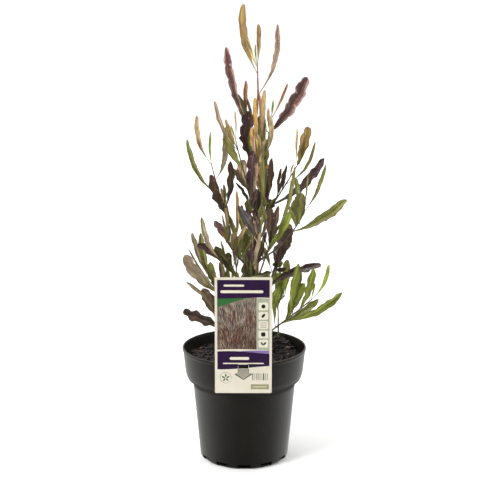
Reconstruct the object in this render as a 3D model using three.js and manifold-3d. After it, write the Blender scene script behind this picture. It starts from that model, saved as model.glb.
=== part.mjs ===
// Young purple hop-bush in its nursery pot, with a hang-on care card.
// One leader stands in the mix. Boughs leave it, and each carries one mass of leaves on its own stem.
// Millimetres, +Z up. The origin is the centre of the pot's flat underside; the front is -Y.
import * as THREE from "three";
import { mergeVertices } from "three/addons/utils/BufferGeometryUtils.js";
import Module from "manifold-3d";

const wasm = await Module();
wasm.setup();

// Pot
const POT_HEIGHT = 152.4;
const RIM_RADIUS = 82.5;
const COLLAR_RADIUS = 78.8;
const COLLAR_DROP = 34;
const BODY_TOP_RADIUS = 68.6;
const BODY_TOP_HEIGHT = 105;
const BASE_RADIUS = 59;
const EDGE_ROUND = 5;
const WALL = 1.8;
const FLOOR = 2.4;
const POT_SIDES = 40;
const DRAIN_COUNT = 12;
const DRAIN_WIDTH = 17;
const DRAIN_HEIGHT = 7;
const DRAIN_DEPTH = 4;

// Potting mix
const MIX_HEIGHT = 137;
const MIX_SIDES = 28;
const MIX_RINGS = 5;
const MIX_GAP = 0.4;
const COLLAR_FOOT = POT_HEIGHT - COLLAR_DROP;
const MIX_BUMP = 2.6;
const MIX_MOUND = 13;
const MOUND_AT = [47, 50];
const MOUND_SPREAD = 20;

// Care card, hooked over the front of the rim
const CARD_WIDTH = 72.4;
const CARD_BOTTOM = 115;
const CARD_TOP = 267;
const CARD_THICK = 0.8;
const CARD_SIDE = -1.1;
const CARD_CORNER = 2.5;
const CARD_BACK = -83.2;
const SLOT_WIDTH = 13;
const SLOT_BOTTOM = 147.6;
const SLOT_TOP = 153.5;
const HOOK_WIDTH = 11.6;
const HOOK_THICK = 0.7;
const HOOK_DROP = 11;
const HOOK_INSET = 3.6;

// Trunk
const GAP = 0.3;
const FINEST = 0.15;
const TRUNK_FOOT = [11, 0];
const TRUNK_TIP = 486;
const TRUNK_FOOT_RADIUS = 4.2;
const TRUNK_TIP_RADIUS = 1.5;
const FLARE = 2.4;
const FLARE_HEIGHT = 9;
const TRUNK_SWAY = [3.4, 2.6];
const TRUNK_LEAN = [6.5, -1];
const TRUNK_SIDES = 8;
const TRUNK_STEPS = 16;

// Shoots and leaves
const STEM_RADIUS = 1.4;
const STEM_TIP_RADIUS = 0.65;
const STEM_CORNER = 1.15;
const BOUGH_SIDES = 5;
const STEM_SIDES = 3;
const LEAF_THICK = 0.013;
const LEAF_FOLD = 0.16;
const STALK_WIDTH = 1.3;
const LEAF_WAVE = 0.05;
const LEAF_LEAN = [0.1, 0.42];
const LEAF_ARCH = [0.04, 0.1];
const LEAF_ROLL = 0.62;
const BROAD = [0.12, 0.24];
const BROAD_POWER = 0.5;
const STRAP_POWER = 0.6;
const STRAP_TINTS = ["dark", "mauve"];

const OUTLINE_WIDEST = 0.72;

// Width of a leaf along its length, as a share of its full width: spoon-shaped, narrow at the root.
const LEAF_OUTLINE = [
  [0.0, 0.0],
  [0.24, 0.3],
  [0.5, 0.86],
  [0.72, 1.0],
  [0.92, 0.66],
];

const SPRAY_OUTLINE = [
  [0.0, 0.0],
  [0.34, 0.55],
  [0.72, 1.0],
];

// The eye of the front view, level with the crown's top. Side and up are read on the upright plane
// through the pot's axis, and a place nearer to or further from the eye lies on the same line of sight.
const EYE_DISTANCE = 1580;
const EYE_HEIGHT = 632;

const TINTS = {
  gold: 0xb48a4a,
  tan: 0xa5875f,
  brown: 0x54382f,
  dark: 0x46262e,
  mauve: 0x7d5560,
  pink: 0xb0848a,
  olive: 0x7a7a38,
  green: 0x6d8a34,
  lime: 0x93a544,
};

// Each shoot leaves the trunk at the height foot and ends at side, away, up. It is a bare bough as far
// as bare, a share of its length, and one mass of leaves from there. bend above 0 runs out first and
// then rises. The sucker rises from the mix at ground instead. A named leaf is [share along the shoot,
// side and up of its tip, width, bow, tint, and where it matters its lean away]. spray is the number of
// further leaves that the seeded rule adds, long their length, tints their colours.
const SHOOTS = [
  {
    name: "top", foot: TRUNK_TIP, side: 16.5, away: -2, up: 526, bend: 0, bare: 0,
    tint: "gold", spray: 0, long: [18, 30], tints: ["gold", "tan"],
    leaves: [
      [0.72, -1.4, 602, 9.5, -7.2, "gold"],
      [0.95, 17.6, 577, 5.6, 1.0, "gold"],
      [0.9, 1.0, 566, 5.5, -1, "straw"],
      [0.95, 14, 552, 2.4, -1, "lime"],
      [0.03, 42, 577, 6.4, 8.6, "tan"],
    ],
  },
  {
    name: "upper_left", foot: 394, side: 1, away: -20, up: 455, bend: 0.1, bare: 0,
    tint: "dark", spray: 1, long: [24, 36], tints: ["olive", "brown"],
    leaves: [
      [1.0, -24, 548, 10, -4.8, "mauve"],
      [0.8, 2, 506, 5.6, -1, "rust"],
      [0.2, 4, 467, 16, -6, "dark"],
      [0.7, -9, 489, 9, 2, "moss"],
      [0.6, 4, 483, 3.5, 4, "brown"],
      [0.34, 9, 446, 5, 1.0, "gold", -0.5],
      [0.3, 7, 441, 6, -1, "olive"],
    ],
  },
  {
    name: "upper_right", foot: 372, side: 35, away: 24, up: 459, bend: 0.16, bare: 0.42,
    tint: "mauve", spray: 1, long: [24, 36], tints: ["gold", "green", "olive"],
    leaves: [
      [0.8, 80.5, 510, 15, 4, "mauve"],
      [0.98, 55.6, 502, 3.4, 1.5, "plum"],
      [1.0, 37, 481, 2.8, 0, "lime"],
      [0.82, 31, 471, 4.2, 0, "pink"],
      [0.48, 34, 461, 6.5, 5, "straw"],
    ],
  },
  {
    name: "upper_front", foot: 376, side: 22, away: -34, up: 444, bend: 0.24, bare: 0,
    tint: "gold", spray: 1, long: [26, 38], tints: ["gold", "olive", "tan"],
    leaves: [
      [0.5, 26, 494, 6.5, 0, "tan"],
      [0.7, 19, 489, 4, 2, "rust"],
      [0.55, 13.6, 484, 5.4, -1, "gold"],
      [0.5, 14, 471, 3.6, -1, "rust"],
      [0.4, 19, 461, 6.5, -1, "olive"],
      [0.45, 25, 461, 6.5, 1.0, "olive"],
      [0.2, 12, 447, 4.2, -1, "pink", -0.2],
      [0.3, 27, 452, 5, 2, "straw"],
    ],
  },
  {
    name: "left_upper", foot: 250, side: -43, away: 30, up: 398, bend: 0.12, bare: 0.44,
    tint: "olive", spray: 0, long: [22, 34], tints: ["tan", "brown"],
    leaves: [
      [1.0, -61.4, 461, 6.4, -6.5, "gold"],
      [0.97, -43.8, 440, 3.6, -2, "lime"],
      [0.73, -74.6, 431, 6.4, -9.5, "olive"],
      [0.88, -26, 430, 7.5, 6, "dusk"],
      [0.58, -45, 384, 11.5, -4, "brown"],
      [0.62, -30.5, 367, 4.5, 0, "pink"],
      [0.66, -27, 372, 4, 1.0, "olive"],
      [0.5, -26, 352, 6, -1, "tan"],
      [0.64, -18, 402, 9, 3, "brown"],
    ],
  },
  {
    name: "left_inner", foot: 344, side: -11.5, away: -34, up: 430, bend: 0.06, bare: 0.2,
    tint: "olive", spray: 0, long: [24, 36], tints: ["dark", "brown", "mauve"],
    leaves: [
      [0.85, -39, 480, 5.4, -6, "pink"],
      [0.6, -24, 447, 12.5, -5, "olive"],
      [0.85, -25, 456, 5, -1, "tan"],
      [1.0, -12, 467, 2.6, 1.0, "pink"],
      [0.98, -18, 449, 2.4, 0, "lime"],
      [0.3, -2, 404, 13.5, -4, "pink"],
      [0.25, -14, 392, 6, -2, "brown"],
    ],
  },
  {
    name: "left_middle", foot: 252, side: -24, away: -42, up: 297, bend: 0.1, bare: 0.3,
    tint: "olive", spray: 3, long: [22, 34], tints: ["dark", "olive", "brown"],
    leaves: [
      [1.0, -39.5, 323, 9, 1, "plum"],
      [0.95, -24, 316, 11, 1.0, "moss"],
      [0.95, -29, 331, 3, 0, "olive"],
      [0.7, -9.5, 363, 5, 3, "tan"],
      [0.52, -8.5, 303, 10, 0, "olive"],
      [0.36, -3, 308, 15, 1, "olive"],
      [0.4, -13, 284, 5, 0, "tan"],
    ],
  },
  {
    name: "left_low_middle", foot: 222, side: -26, away: -26, up: 265, bend: 0.06, bare: 0.34,
    tint: "tan", spray: 2, long: [20, 32], tints: ["brown", "olive", "dark"],
    leaves: [
      [1.0, -56.4, 328, 6.8, -7, "pink"],
      [0.98, -62, 292, 10, 2, "dark"],
      [0.6, -39, 289, 12, 1.0, "moss"],
      [0.78, -22, 281, 9, -1, "moss"],
      [0.88, -31, 298, 3, 0, "olive"],
    ],
  },
  {
    name: "left_low", foot: 172, side: -40, away: 30, up: 238, bend: 0.1, bare: 0.4,
    tint: "tan", spray: 1, long: [20, 32], tints: ["tan", "green"],
    leaves: [
      [1.0, -57.4, 307, 9, -4, "lime"],
      [0.96, -69, 307, 7, -4, "dusk"],
      [0.82, -79, 277, 15, -4, "dusk"],
      [0.86, -74, 286, 2.6, -3, "olive"],
      [0.9, -44.5, 268, 11, -1, "olive"],
      [0.72, -32, 268, 8, 2, "dusk"],
    ],
  },
  {
    name: "left_lowest", foot: 150, side: -38, away: -8, up: 194, bend: 0.14, bare: 0.4,
    tint: "brown", spray: 1, long: [20, 30], tints: ["brown", "green"],
    leaves: [
      [0.98, -77, 240, 5, 5, "dusk"],
      [0.95, -55, 232, 15, 1.0, "brown"],
      [0.7, -82, 199, 13, -1, "dark"],
      [0.9, -41, 210, 6, 0, "moss"],
    ],
  },
  {
    name: "centre_front", foot: 190, side: 8, away: -58, up: 258, bend: 0.2, bare: 0.34,
    tint: "olive", spray: 3, long: [26, 38], tints: ["dark", "olive", "moss"],
    leaves: [
      [0.8, 1.5, 268, 16.5, 0, "moss"],
      [1.0, 9, 287, 9, 0, "dark"],
      [0.9, 36, 254, 7, 1, "moss", -0.1],
      [0.9, 21.5, 307, 5.5, 1, "tan", -0.1],
    ],
  },
  {
    name: "centre_high", foot: 236, side: 18, away: -46, up: 296, bend: 0.2, bare: 0.2,
    tint: "mauve", spray: 2, long: [28, 42], tints: ["brown", "dark"],
    leaves: [
      [1.0, -8.3, 344, 11, 1, "slate", -0.45],
    ],
  },
  {
    name: "centre_left", foot: 322, side: 8, away: -24, up: 350, bend: 0.1, bare: 0,
    tint: "dark", spray: 4, long: [30, 44], tints: ["dark", "brown", "moss"],
    leaves: [
      [1.0, 12, 416, 11, -1, "dark"],
      [0.9, 17, 400, 4, 1.0, "pink", -0.3],
      [0.5, 5, 352, 10, -1, "moss"],
      [0.4, 18, 366, 8, 1.0, "slate", -0.3],
    ],
  },
  {
    name: "right_upper", foot: 312, side: 69.5, away: 34, up: 398, bend: 0.03, bare: 0.36,
    tint: "olive", spray: 0, long: [22, 34], tints: ["mauve", "green"],
    leaves: [
      [1.0, 81, 447, 12.4, 0, "gold"],
      [0.98, 68.2, 445, 3.4, -1, "straw"],
      [0.7, 91.8, 428, 4.4, 9, "olive"],
      [0.38, 104, 405.5, 11, 8, "dark"],
      [0.42, 55, 397, 5, 1.0, "brown"],
      [0.5, 48, 393, 4.5, -1, "brown"],
      [0.6, 54, 384, 2.6, 0, "mauve"],
      [0.82, 64, 398, 2.4, -1, "tan"],
    ],
  },
  {
    name: "right_middle", foot: 268, side: 79, away: -38, up: 336, bend: 0.16, bare: 0.46,
    tint: "green", spray: 1, long: [22, 34], tints: ["olive", "green"],
    leaves: [
      [1.0, 106, 398, 5, 3.6, "lime"],
      [0.95, 83, 387, 2.4, 1.0, "olive"],
      [0.82, 74, 361, 15, -1, "green"],
      [0.78, 67, 352, 10, -2, "olive"],
      [0.8, 78, 350, 6, 2, "lime"],
      [0.68, 134.4, 351, 12, 6, "olive"],
    ],
  },
  {
    name: "centre_upper", foot: 300, side: 31, away: -6, up: 352, bend: 0.14, bare: 0.2,
    tint: "olive", spray: 5, long: [28, 42], tints: ["olive", "brown", "moss"],
    leaves: [
      [1.0, 35, 405, 8, 1.0, "brown"],
      [0.85, 27, 386, 9, 0, "dark"],
      [0.4, 24, 408, 6.5, 1, "olive"],
      [0.7, 35, 352, 10, 2, "dark"],
    ],
  },
  {
    name: "centre_right", foot: 240, side: 35, away: -32, up: 297, bend: 0.02, bare: 0.34,
    tint: "brown", spray: 4, long: [24, 36], tints: ["dark", "brown", "olive"],
    leaves: [
      [1.0, 66, 395, 5.5, 7, "lime"],
      [0.94, 34, 340, 12, 0, "brown"],
      [0.97, 45, 343, 8, 1.0, "brown"],
      [0.88, 38, 309, 8, 0, "lime"],
      [0.72, 64, 340, 9, 3, "lime", 0.1],
    ],
  },
  {
    name: "right_low_middle", foot: 203, side: 44, away: 26, up: 267, bend: 0.06, bare: 0.4,
    tint: "brown", spray: 2, long: [20, 32], tints: ["olive", "dark"],
    leaves: [
      [1.0, 54.5, 321, 21, 0, "brown"],
      [0.92, 40, 268, 6.5, -1, "olive"],
      [0.9, 48, 271, 9, 1.0, "green"],
      [0.45, 101.5, 264.5, 9.5, -6, "brown", -0.5],
      [0.86, 56, 259, 6, 1.0, "brown"],
    ],
  },
  {
    name: "right_low", foot: 156, side: 91, away: -30, up: 218, bend: 0.03, bare: 0.34,
    tint: "green", spray: 1, long: [20, 30], tints: ["green", "lime"],
    leaves: [
      [0.62, 71.5, 266, 9, -2, "green"],
      [0.56, 80, 239, 14, -1, "green"],
      [0.8, 92, 259, 10, 2, "green"],
      [1.0, 112.4, 265, 5.4, 5, "lime"],
      [0.97, 94, 239, 2.6, 0, "lime"],
      [0.37, 49, 243, 8, -4, "green"],
      [0.45, 99, 217, 9.5, 3, "green"],
      [0.5, 130, 226, 10.5, 6.6, "green"],
    ],
  },
  {
    name: "back_low_left", foot: 178, side: -20, away: 68, up: 222, bend: 0.14, bare: 0.36,
    tint: "olive", spray: 9, long: [34, 52], tints: ["green", "olive", "brown"],
    leaves: [],
  },
  {
    name: "back_low_right", foot: 190, side: 54, away: 66, up: 222, bend: 0.14, bare: 0.36,
    tint: "green", spray: 8, long: [34, 48], tints: ["green", "lime", "olive"],
    leaves: [],
  },
  {
    name: "back_middle", foot: 240, side: 9, away: 78, up: 304, bend: 0.1, bare: 0.36,
    tint: "brown", spray: 11, long: [34, 52], tints: ["dark", "brown", "olive", "plum"],
    leaves: [],
  },
  {
    name: "back_upper", foot: 326, side: 22, away: 58, up: 390, bend: 0.1, bare: 0.3,
    tint: "gold", spray: 10, long: [38, 60], tints: ["gold", "olive", "mauve"],
    leaves: [],
  },
  {
    name: "front_low", foot: 172, side: 26, away: -60, up: 206, bend: 0.16, bare: 0.4,
    tint: "olive", spray: 7, long: [28, 42], tints: ["green", "brown", "olive"],
    leaves: [],
  },
  {
    name: "sucker", ground: [47, 50], foot: 150, side: 45, away: 42, up: 206, bend: 0.05, bare: 0,
    tint: "lime", spray: 0, long: [20, 30], tints: ["lime"],
    leaves: [
      [1.0, 50, 234, 5, 0, "green"],
      [0.85, 43, 226, 4, -1, "lime"],
    ],
  },
];

// One number stream for each leaf, so that leaving one out moves none of the others.
function dice(seed) {
  let state = (seed * 2654435 + 12345) % 4294967296;
  const roll = () => {
    state = (state * 1664525 + 1013904223) % 4294967296;
    return state / 4294967296;
  };
  roll();
  roll();
  return roll;
}

const lerp = (a, b, t) => a + (b - a) * t;
const add = (a, b, s = 1) => [a[0] + b[0] * s, a[1] + b[1] * s, a[2] + b[2] * s];
const dot = (a, b) => a[0] * b[0] + a[1] * b[1] + a[2] * b[2];
const sub = (a, b) => add(a, b, -1);
const size = (a) => Math.sqrt(dot(a, a));
const unit = (a) => a.map((v) => v / size(a));
const cross = (a, b) => [
  a[1] * b[2] - a[2] * b[1],
  a[2] * b[0] - a[0] * b[2],
  a[0] * b[1] - a[1] * b[0],
];

// A place from its side and up on the upright plane through the axis, moved away along the line of sight.
function place(side, up, away) {
  const share = (EYE_DISTANCE + away) / EYE_DISTANCE;
  return [side * share, away, EYE_HEIGHT - (EYE_HEIGHT - up) * share];
}

// Solids from corner points and faces
function solid(points, faces) {
  const made = new wasm.Manifold(
    new wasm.Mesh({
      numProp: 3,
      vertProperties: new Float32Array(points.flat()),
      triVerts: new Uint32Array(faces.flat()),
    }),
  );
  if (made.volume() < 0) {
    return solid(points, faces.map(([a, b, c]) => [a, c, b]));
  }
  return made;
}

// Rings of equal corner count joined into one closed skin, with a flat or pointed start and end.
function skin(rings) {
  const points = [];
  const faces = [];
  const starts = rings.map((ring) => {
    const start = points.length;
    ring.forEach((p) => points.push(p));
    return start;
  });
  for (let k = 0; k + 1 < rings.length; k++) {
    const a = starts[k];
    const b = starts[k + 1];
    const na = rings[k].length;
    const nb = rings[k + 1].length;
    const n = Math.max(na, nb);
    for (let i = 0; i < n; i++) {
      const j = (i + 1) % n;
      if (na > 1) faces.push([a + i, a + j, nb > 1 ? b + j : b]);
      if (nb > 1) faces.push([na > 1 ? a + i : a, b + j, b + i]);
    }
  }
  const first = rings[0].length;
  const last = rings[rings.length - 1].length;
  const end = starts[starts.length - 1];
  for (let i = 1; i + 1 < first; i++) faces.push([0, i + 1, i]);
  for (let i = 1; i + 1 < last; i++) faces.push([end, end + i, end + i + 1]);
  return solid(points, faces);
}

// Tapering limb of given sides along a path
function limb(path, steps, sides, radius) {
  const rings = [];
  let across = [1, 0, 0];
  for (let k = 0; k <= steps; k++) {
    const t = k / steps;
    const here = path(t);
    const along = unit(sub(path(Math.min(1, t + 0.02)), path(Math.max(0, t - 0.02))));
    across = unit(sub(across, along.map((v) => v * dot(across, along))));
    const up = cross(along, across);
    const r = radius(t);
    const ring = [];
    for (let i = 0; i < sides; i++) {
      const a = (2 * Math.PI * i) / sides;
      ring.push(add(add(here, across, r * Math.cos(a)), up, r * Math.sin(a)));
    }
    rings.push(ring);
  }
  return skin(rings);
}

// Trunk: one leader from the mix to the lowest leaf of the top, swaying gently
function trunkAt(z) {
  const t = (z - MIX_HEIGHT) / (TRUNK_TIP - MIX_HEIGHT);
  const sway = Math.sin(t * Math.PI * 2.1 - 0.35);
  return [
    TRUNK_FOOT[0] + TRUNK_LEAN[0] * t + TRUNK_SWAY[0] * sway,
    TRUNK_FOOT[1] + TRUNK_LEAN[1] * t + TRUNK_SWAY[1] * Math.sin(t * Math.PI * 1.6),
    z,
  ];
}

function trunkRadius(z) {
  const t = (z - MIX_HEIGHT) / (TRUNK_TIP - MIX_HEIGHT);
  const flare = FLARE * Math.exp(-(z - MIX_HEIGHT) / FLARE_HEIGHT);
  return lerp(TRUNK_FOOT_RADIUS, TRUNK_TIP_RADIUS, Math.pow(t, 0.75)) + flare;
}

function trunk(grow) {
  const low = MIX_HEIGHT + GAP;
  const heights = [];
  for (let k = 0; k <= TRUNK_STEPS; k++) {
    heights.push(low + (TRUNK_TIP - low) * Math.pow(k / TRUNK_STEPS, 1.25));
  }
  const rings = heights.map((z) => {
    const [x, y] = trunkAt(z);
    const ring = [];
    for (let i = 0; i < TRUNK_SIDES; i++) {
      const a = (2 * Math.PI * i) / TRUNK_SIDES;
      const lobe = 1 + 0.1 * Math.cos(3 * a + 0.6) * Math.exp(-(z - low) / (2 * FLARE_HEIGHT));
      const r = trunkRadius(z) * lobe + grow;
      ring.push([x + r * Math.cos(a), y + r * Math.sin(a), z]);
    }
    return ring;
  });
  if (grow) {
    rings[0] = rings[0].map(([x, y, z]) => [x, y, z - 2]);
    rings[rings.length - 1] = rings[rings.length - 1].map(([x, y, z]) => [x, y, z + grow]);
  }
  return skin(rings);
}

// The line of a shoot from the trunk's axis to its tip
function shootPath(shoot) {
  const root = shoot.ground ? [...shoot.ground, shoot.foot] : trunkAt(shoot.foot);
  const tip = place(shoot.side, shoot.up, shoot.away);
  const out = 0.5 + shoot.bend;
  const lift = 0.5 - shoot.bend;
  const knee = [
    lerp(root[0], tip[0], out),
    lerp(root[1], tip[1], out),
    lerp(root[2], tip[2], lift),
  ];
  return (t) => [0, 1, 2].map((i) => lerp(lerp(root[i], knee[i], t), lerp(knee[i], tip[i], t), t));
}

function stemRadius(t) {
  return lerp(STEM_RADIUS, STEM_TIP_RADIUS, t);
}

// How soon a leaf widens: broad leaves are oval, dark and mauve ones strap-shaped, others like a spoon
function fullness(width, long, tint) {
  const broad = Math.min(1, Math.max(0, (width / long - BROAD[0]) / (BROAD[1] - BROAD[0])));
  return Math.min(lerp(1, BROAD_POWER, broad), STRAP_TINTS.includes(tint) ? STRAP_POWER : 1);
}

// A leaf: a thin folded blade with a stalk at its root, bowed sideways and cupped
function leaf({ root, tip, width, bow, turn, arch, tint, outline, roll }) {
  const chord = sub(tip, root);
  const long = size(chord);
  const power = fullness(width, long, tint);
  const along = unit(chord);
  const sight = unit(sub([0, -EYE_DISTANCE, EYE_HEIGHT], root));
  const flat = unit(cross(along, sight));
  const face = cross(flat, along);
  const c = Math.cos(turn);
  const s = Math.sin(turn);
  const across = add(flat.map((v) => v * c), face, s);
  const over = add(face.map((v) => v * c), flat, -s);
  const thick = Math.max(0.75, long * LEAF_THICK);
  const phase = roll() * 6.3;
  const waves = 2 + roll() * 2;
  const start = add(root, along, -0.8);
  const rings = [];
  outline.forEach(([t, given]) => {
    const share = t > OUTLINE_WIDEST ? given : Math.pow(given, power);
    const middle = Math.sin(Math.PI * t);
    const wave = Math.sin(phase + waves * 2 * Math.PI * t) * LEAF_WAVE * width * share;
    const half = Math.max(STALK_WIDTH, width * share) / 2;
    const lift = half * LEAF_FOLD;
    let mid = add(start, chord, t);
    mid = add(mid, flat, bow * middle + wave);
    mid = add(mid, face, arch * long * middle);
    const deep = share < 0.2 ? Math.max(thick, 0.95) : thick;
    rings.push([
      add(add(mid, across, -half), over, lift),
      add(mid, over, -deep),
      add(add(mid, across, half), over, lift),
    ]);
  });
  rings.push([tip]);
  return skin(rings);
}

// Every leaf of a shoot: first the named ones, then the spray that the seeded rule adds
function leafPlans(shoot, index) {
  const path = shootPath(shoot);
  const plans = [];
  shoot.leaves.forEach(([at, side, up, width, bow, tint, lean], k) => {
    const roll = dice(1000 * (index + 1) + k);
    const root = path(at);
    const long = size(sub(place(side, up, root[1]), root));
    const first = (k % 2 ? 1 : -1) * lerp(LEAF_LEAN[0], LEAF_LEAN[1], roll());
    const beyond = Math.sign(lean ?? first);
    const away = root[1] + (lean ?? first) * long;
    const turn = (roll() - 0.5) * 2 * LEAF_ROLL;
    const arch = -beyond * lerp(LEAF_ARCH[0], LEAF_ARCH[1], roll());
    plans.push({
      root,
      tip: place(side, up, away),
      width: width / Math.cos(turn),
      bow,
      turn,
      arch,
      tint,
      outline: LEAF_OUTLINE,
      roll,
    });
  });
  for (let k = 0; k < shoot.spray; k++) {
    const roll = dice(1000 * (index + 1) + 500 + k);
    const at = lerp(Math.max(shoot.bare + 0.08, 0.3), 1, (k + 0.6) / shoot.spray);
    const root = path(at);
    const bearing = (k * 137.5 + index * 61 + 30 * roll()) * (Math.PI / 180);
    const lean = lerp(0.3, 0.85, roll());
    const long = lerp(shoot.long[0], shoot.long[1], roll());
    const outward = shoot.away === 0 ? 0 : Math.sign(shoot.away) * 0.35;
    const dir = unit([
      Math.sin(lean) * Math.cos(bearing) * 0.62,
      Math.sin(lean) * (Math.sin(bearing) + outward),
      Math.cos(lean),
    ]);
    plans.push({
      root,
      tip: add(root, dir, long),
      width: long * lerp(0.13, 0.2, roll()),
      bow: (roll() - 0.5) * 0.16 * long,
      turn: (roll() - 0.5) * 2.4,
      arch: -Math.sign(dir[1]) * lerp(LEAF_ARCH[0], LEAF_ARCH[1], roll()),
      tint: shoot.tints[Math.floor(roll() * shoot.tints.length)],
      outline: SPRAY_OUTLINE,
      roll,
    });
  }
  return plans;
}

// A surface of revolution as a solid, from a profile of [radius, height] that starts and ends on the axis
function turned(profile, sides) {
  const shape = new THREE.LatheGeometry(
    profile.map(([r, z]) => new THREE.Vector2(r, z)),
    sides,
  );
  shape.rotateX(Math.PI / 2);
  return fromGeometry(shape);
}

function fromGeometry(shape) {
  shape.deleteAttribute("normal");
  shape.deleteAttribute("uv");
  const merged = mergeVertices(shape, 1e-4);
  const p = merged.attributes.position.array;
  const index = merged.index.array;
  const points = [];
  for (let i = 0; i < p.length; i += 3) points.push([p[i], p[i + 1], p[i + 2]]);
  const faces = [];
  for (let i = 0; i < index.length; i += 3) {
    const f = [index[i], index[i + 1], index[i + 2]];
    if (f[0] !== f[1] && f[1] !== f[2] && f[0] !== f[2]) faces.push(f);
  }
  return solid(points, faces);
}

function block(x0, x1, y0, y1, z0, z1) {
  const shape = new THREE.BoxGeometry(x1 - x0, y1 - y0, z1 - z0);
  shape.translate((x0 + x1) / 2, (y0 + y1) / 2, (z0 + z1) / 2);
  return fromGeometry(shape);
}

// Half width of the pot's outer wall at a height, for the inner wall too
function potProfile(inset) {
  const shoulder = POT_HEIGHT - COLLAR_DROP;
  return [
    [BASE_RADIUS - inset, 0],
    [BASE_RADIUS + 0.4 - inset, EDGE_ROUND],
    [BODY_TOP_RADIUS - inset, BODY_TOP_HEIGHT],
    [BODY_TOP_RADIUS + 4.4 - inset, BODY_TOP_HEIGHT + 3.4],
    [COLLAR_RADIUS - 1.4 - inset, BODY_TOP_HEIGHT + 8],
    [COLLAR_RADIUS - inset, shoulder],
    [RIM_RADIUS - 0.6 - inset, POT_HEIGHT - 2.2],
  ];
}

function innerRadius(z) {
  const rows = potProfile(WALL);
  for (let k = 0; k + 1 < rows.length; k++) {
    const [r0, z0] = rows[k];
    const [r1, z1] = rows[k + 1];
    if (z <= z1) return lerp(r0, r1, (z - z0) / (z1 - z0));
  }
  return rows[rows.length - 1][0];
}

function makePot() {
  const outer = potProfile(0).slice(2);
  const inner = potProfile(WALL).slice(2).reverse();
  const profile = [
    [0, 0],
    [BASE_RADIUS - EDGE_ROUND, 0],
    [BASE_RADIUS - 1.2, 1.2],
    [BASE_RADIUS + 0.3, EDGE_ROUND],
    ...outer,
    [RIM_RADIUS, POT_HEIGHT - 1.2],
    [RIM_RADIUS - 0.5, POT_HEIGHT],
    [RIM_RADIUS - WALL, POT_HEIGHT],
    ...inner,
    [BASE_RADIUS + 0.2 - WALL, FLOOR + 1.5],
    [BASE_RADIUS - 2.2 - WALL, FLOOR],
    [0, FLOOR],
  ];
  let pot = turned(profile, POT_SIDES);
  for (let k = 0; k < DRAIN_COUNT; k++) {
    const a = (2 * Math.PI * k) / DRAIN_COUNT;
    const notch = new THREE.BoxGeometry(DRAIN_WIDTH, DRAIN_DEPTH * 2, DRAIN_HEIGHT * 2);
    notch.translate(0, -BASE_RADIUS, 0);
    notch.rotateZ(a);
    pot = pot.subtract(fromGeometry(notch));
  }
  return pot;
}

// Potting mix: fills the pot with a rough top that mounds towards the back right
function mixTop(x, y, bump) {
  const [tx, ty] = trunkAt(MIX_HEIGHT);
  const far = Math.hypot(x - tx, y - ty);
  const calm = Math.min(1, Math.max(0, (far - 12) / 14));
  const off = Math.hypot(x - MOUND_AT[0], y - MOUND_AT[1]) / MOUND_SPREAD;
  const mound = MIX_MOUND * Math.exp(-off * off);
  return MIX_HEIGHT + calm * (bump * MIX_BUMP + mound - 1);
}

function makeMix() {
  const roll = dice(77);
  const rings = [];
  const ringAt = (r, z) => {
    const ring = [];
    for (let i = 0; i < MIX_SIDES; i++) {
      const a = (2 * Math.PI * i) / MIX_SIDES;
      const x = r * Math.cos(a);
      const y = r * Math.sin(a);
      ring.push([x, y, z === null ? mixTop(x, y, roll() - 0.5) : z]);
    }
    return ring;
  };
  const edge = (z) => (innerRadius(z) - MIX_GAP) * 0.996;
  const foot = FLOOR + GAP + 0.1;
  rings.push([[0, 0, foot]]);
  rings.push(ringAt(edge(foot) - 3.5, foot));
  [FLOOR + 3, BODY_TOP_HEIGHT - 1, COLLAR_FOOT + 1, MIX_HEIGHT - 7].forEach((z) => {
    rings.push(ringAt(edge(z) - 0.6, z));
  });
  for (let k = MIX_RINGS; k > 0; k--) {
    rings.push(ringAt(((edge(MIX_HEIGHT - 5) - 0.6) * k) / MIX_RINGS, null));
  }
  rings.push([[0, 0, mixTop(0, 0, 0)]]);
  return skin(rings);
}

// Care card with its slot and the hook that goes over the rim and down inside it
function makeCard() {
  const w = CARD_WIDTH / 2;
  const r = CARD_CORNER;
  const outline = new THREE.Shape();
  outline.moveTo(-w + r, CARD_BOTTOM);
  outline.lineTo(w - r, CARD_BOTTOM);
  outline.quadraticCurveTo(w, CARD_BOTTOM, w, CARD_BOTTOM + r);
  outline.lineTo(w, CARD_TOP - r);
  outline.quadraticCurveTo(w, CARD_TOP, w - r, CARD_TOP);
  outline.lineTo(-w + r, CARD_TOP);
  outline.quadraticCurveTo(-w, CARD_TOP, -w, CARD_TOP - r);
  outline.lineTo(-w, CARD_BOTTOM + r);
  outline.quadraticCurveTo(-w, CARD_BOTTOM, -w + r, CARD_BOTTOM);
  const plate = new THREE.ExtrudeGeometry(outline, {
    depth: CARD_THICK,
    bevelEnabled: false,
    curveSegments: 4,
  });
  plate.rotateX(Math.PI / 2);
  plate.translate(CARD_SIDE, CARD_BACK, 0);
  const front = CARD_BACK - CARD_THICK;
  const s = SLOT_WIDTH / 2;
  const h = HOOK_WIDTH / 2;
  const slot = block(CARD_SIDE - s, CARD_SIDE + s, front - 1, CARD_BACK + 1, SLOT_BOTTOM, SLOT_TOP);
  const rest = POT_HEIGHT + GAP + 0.1;
  const inside = -(RIM_RADIUS - WALL - HOOK_INSET);
  const bridge = block(
    CARD_SIDE - h, CARD_SIDE + h,
    CARD_BACK - CARD_THICK * 0.8, inside,
    rest, rest + HOOK_THICK + 0.5,
  );
  const drop = block(
    CARD_SIDE - h, CARD_SIDE + h,
    inside - HOOK_THICK, inside,
    POT_HEIGHT - HOOK_DROP, rest + HOOK_THICK,
  );
  return fromGeometry(plate).subtract(slot).add(bridge).add(drop);
}

// Assembly
const group = new THREE.Group();
const nodes = [];

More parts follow.
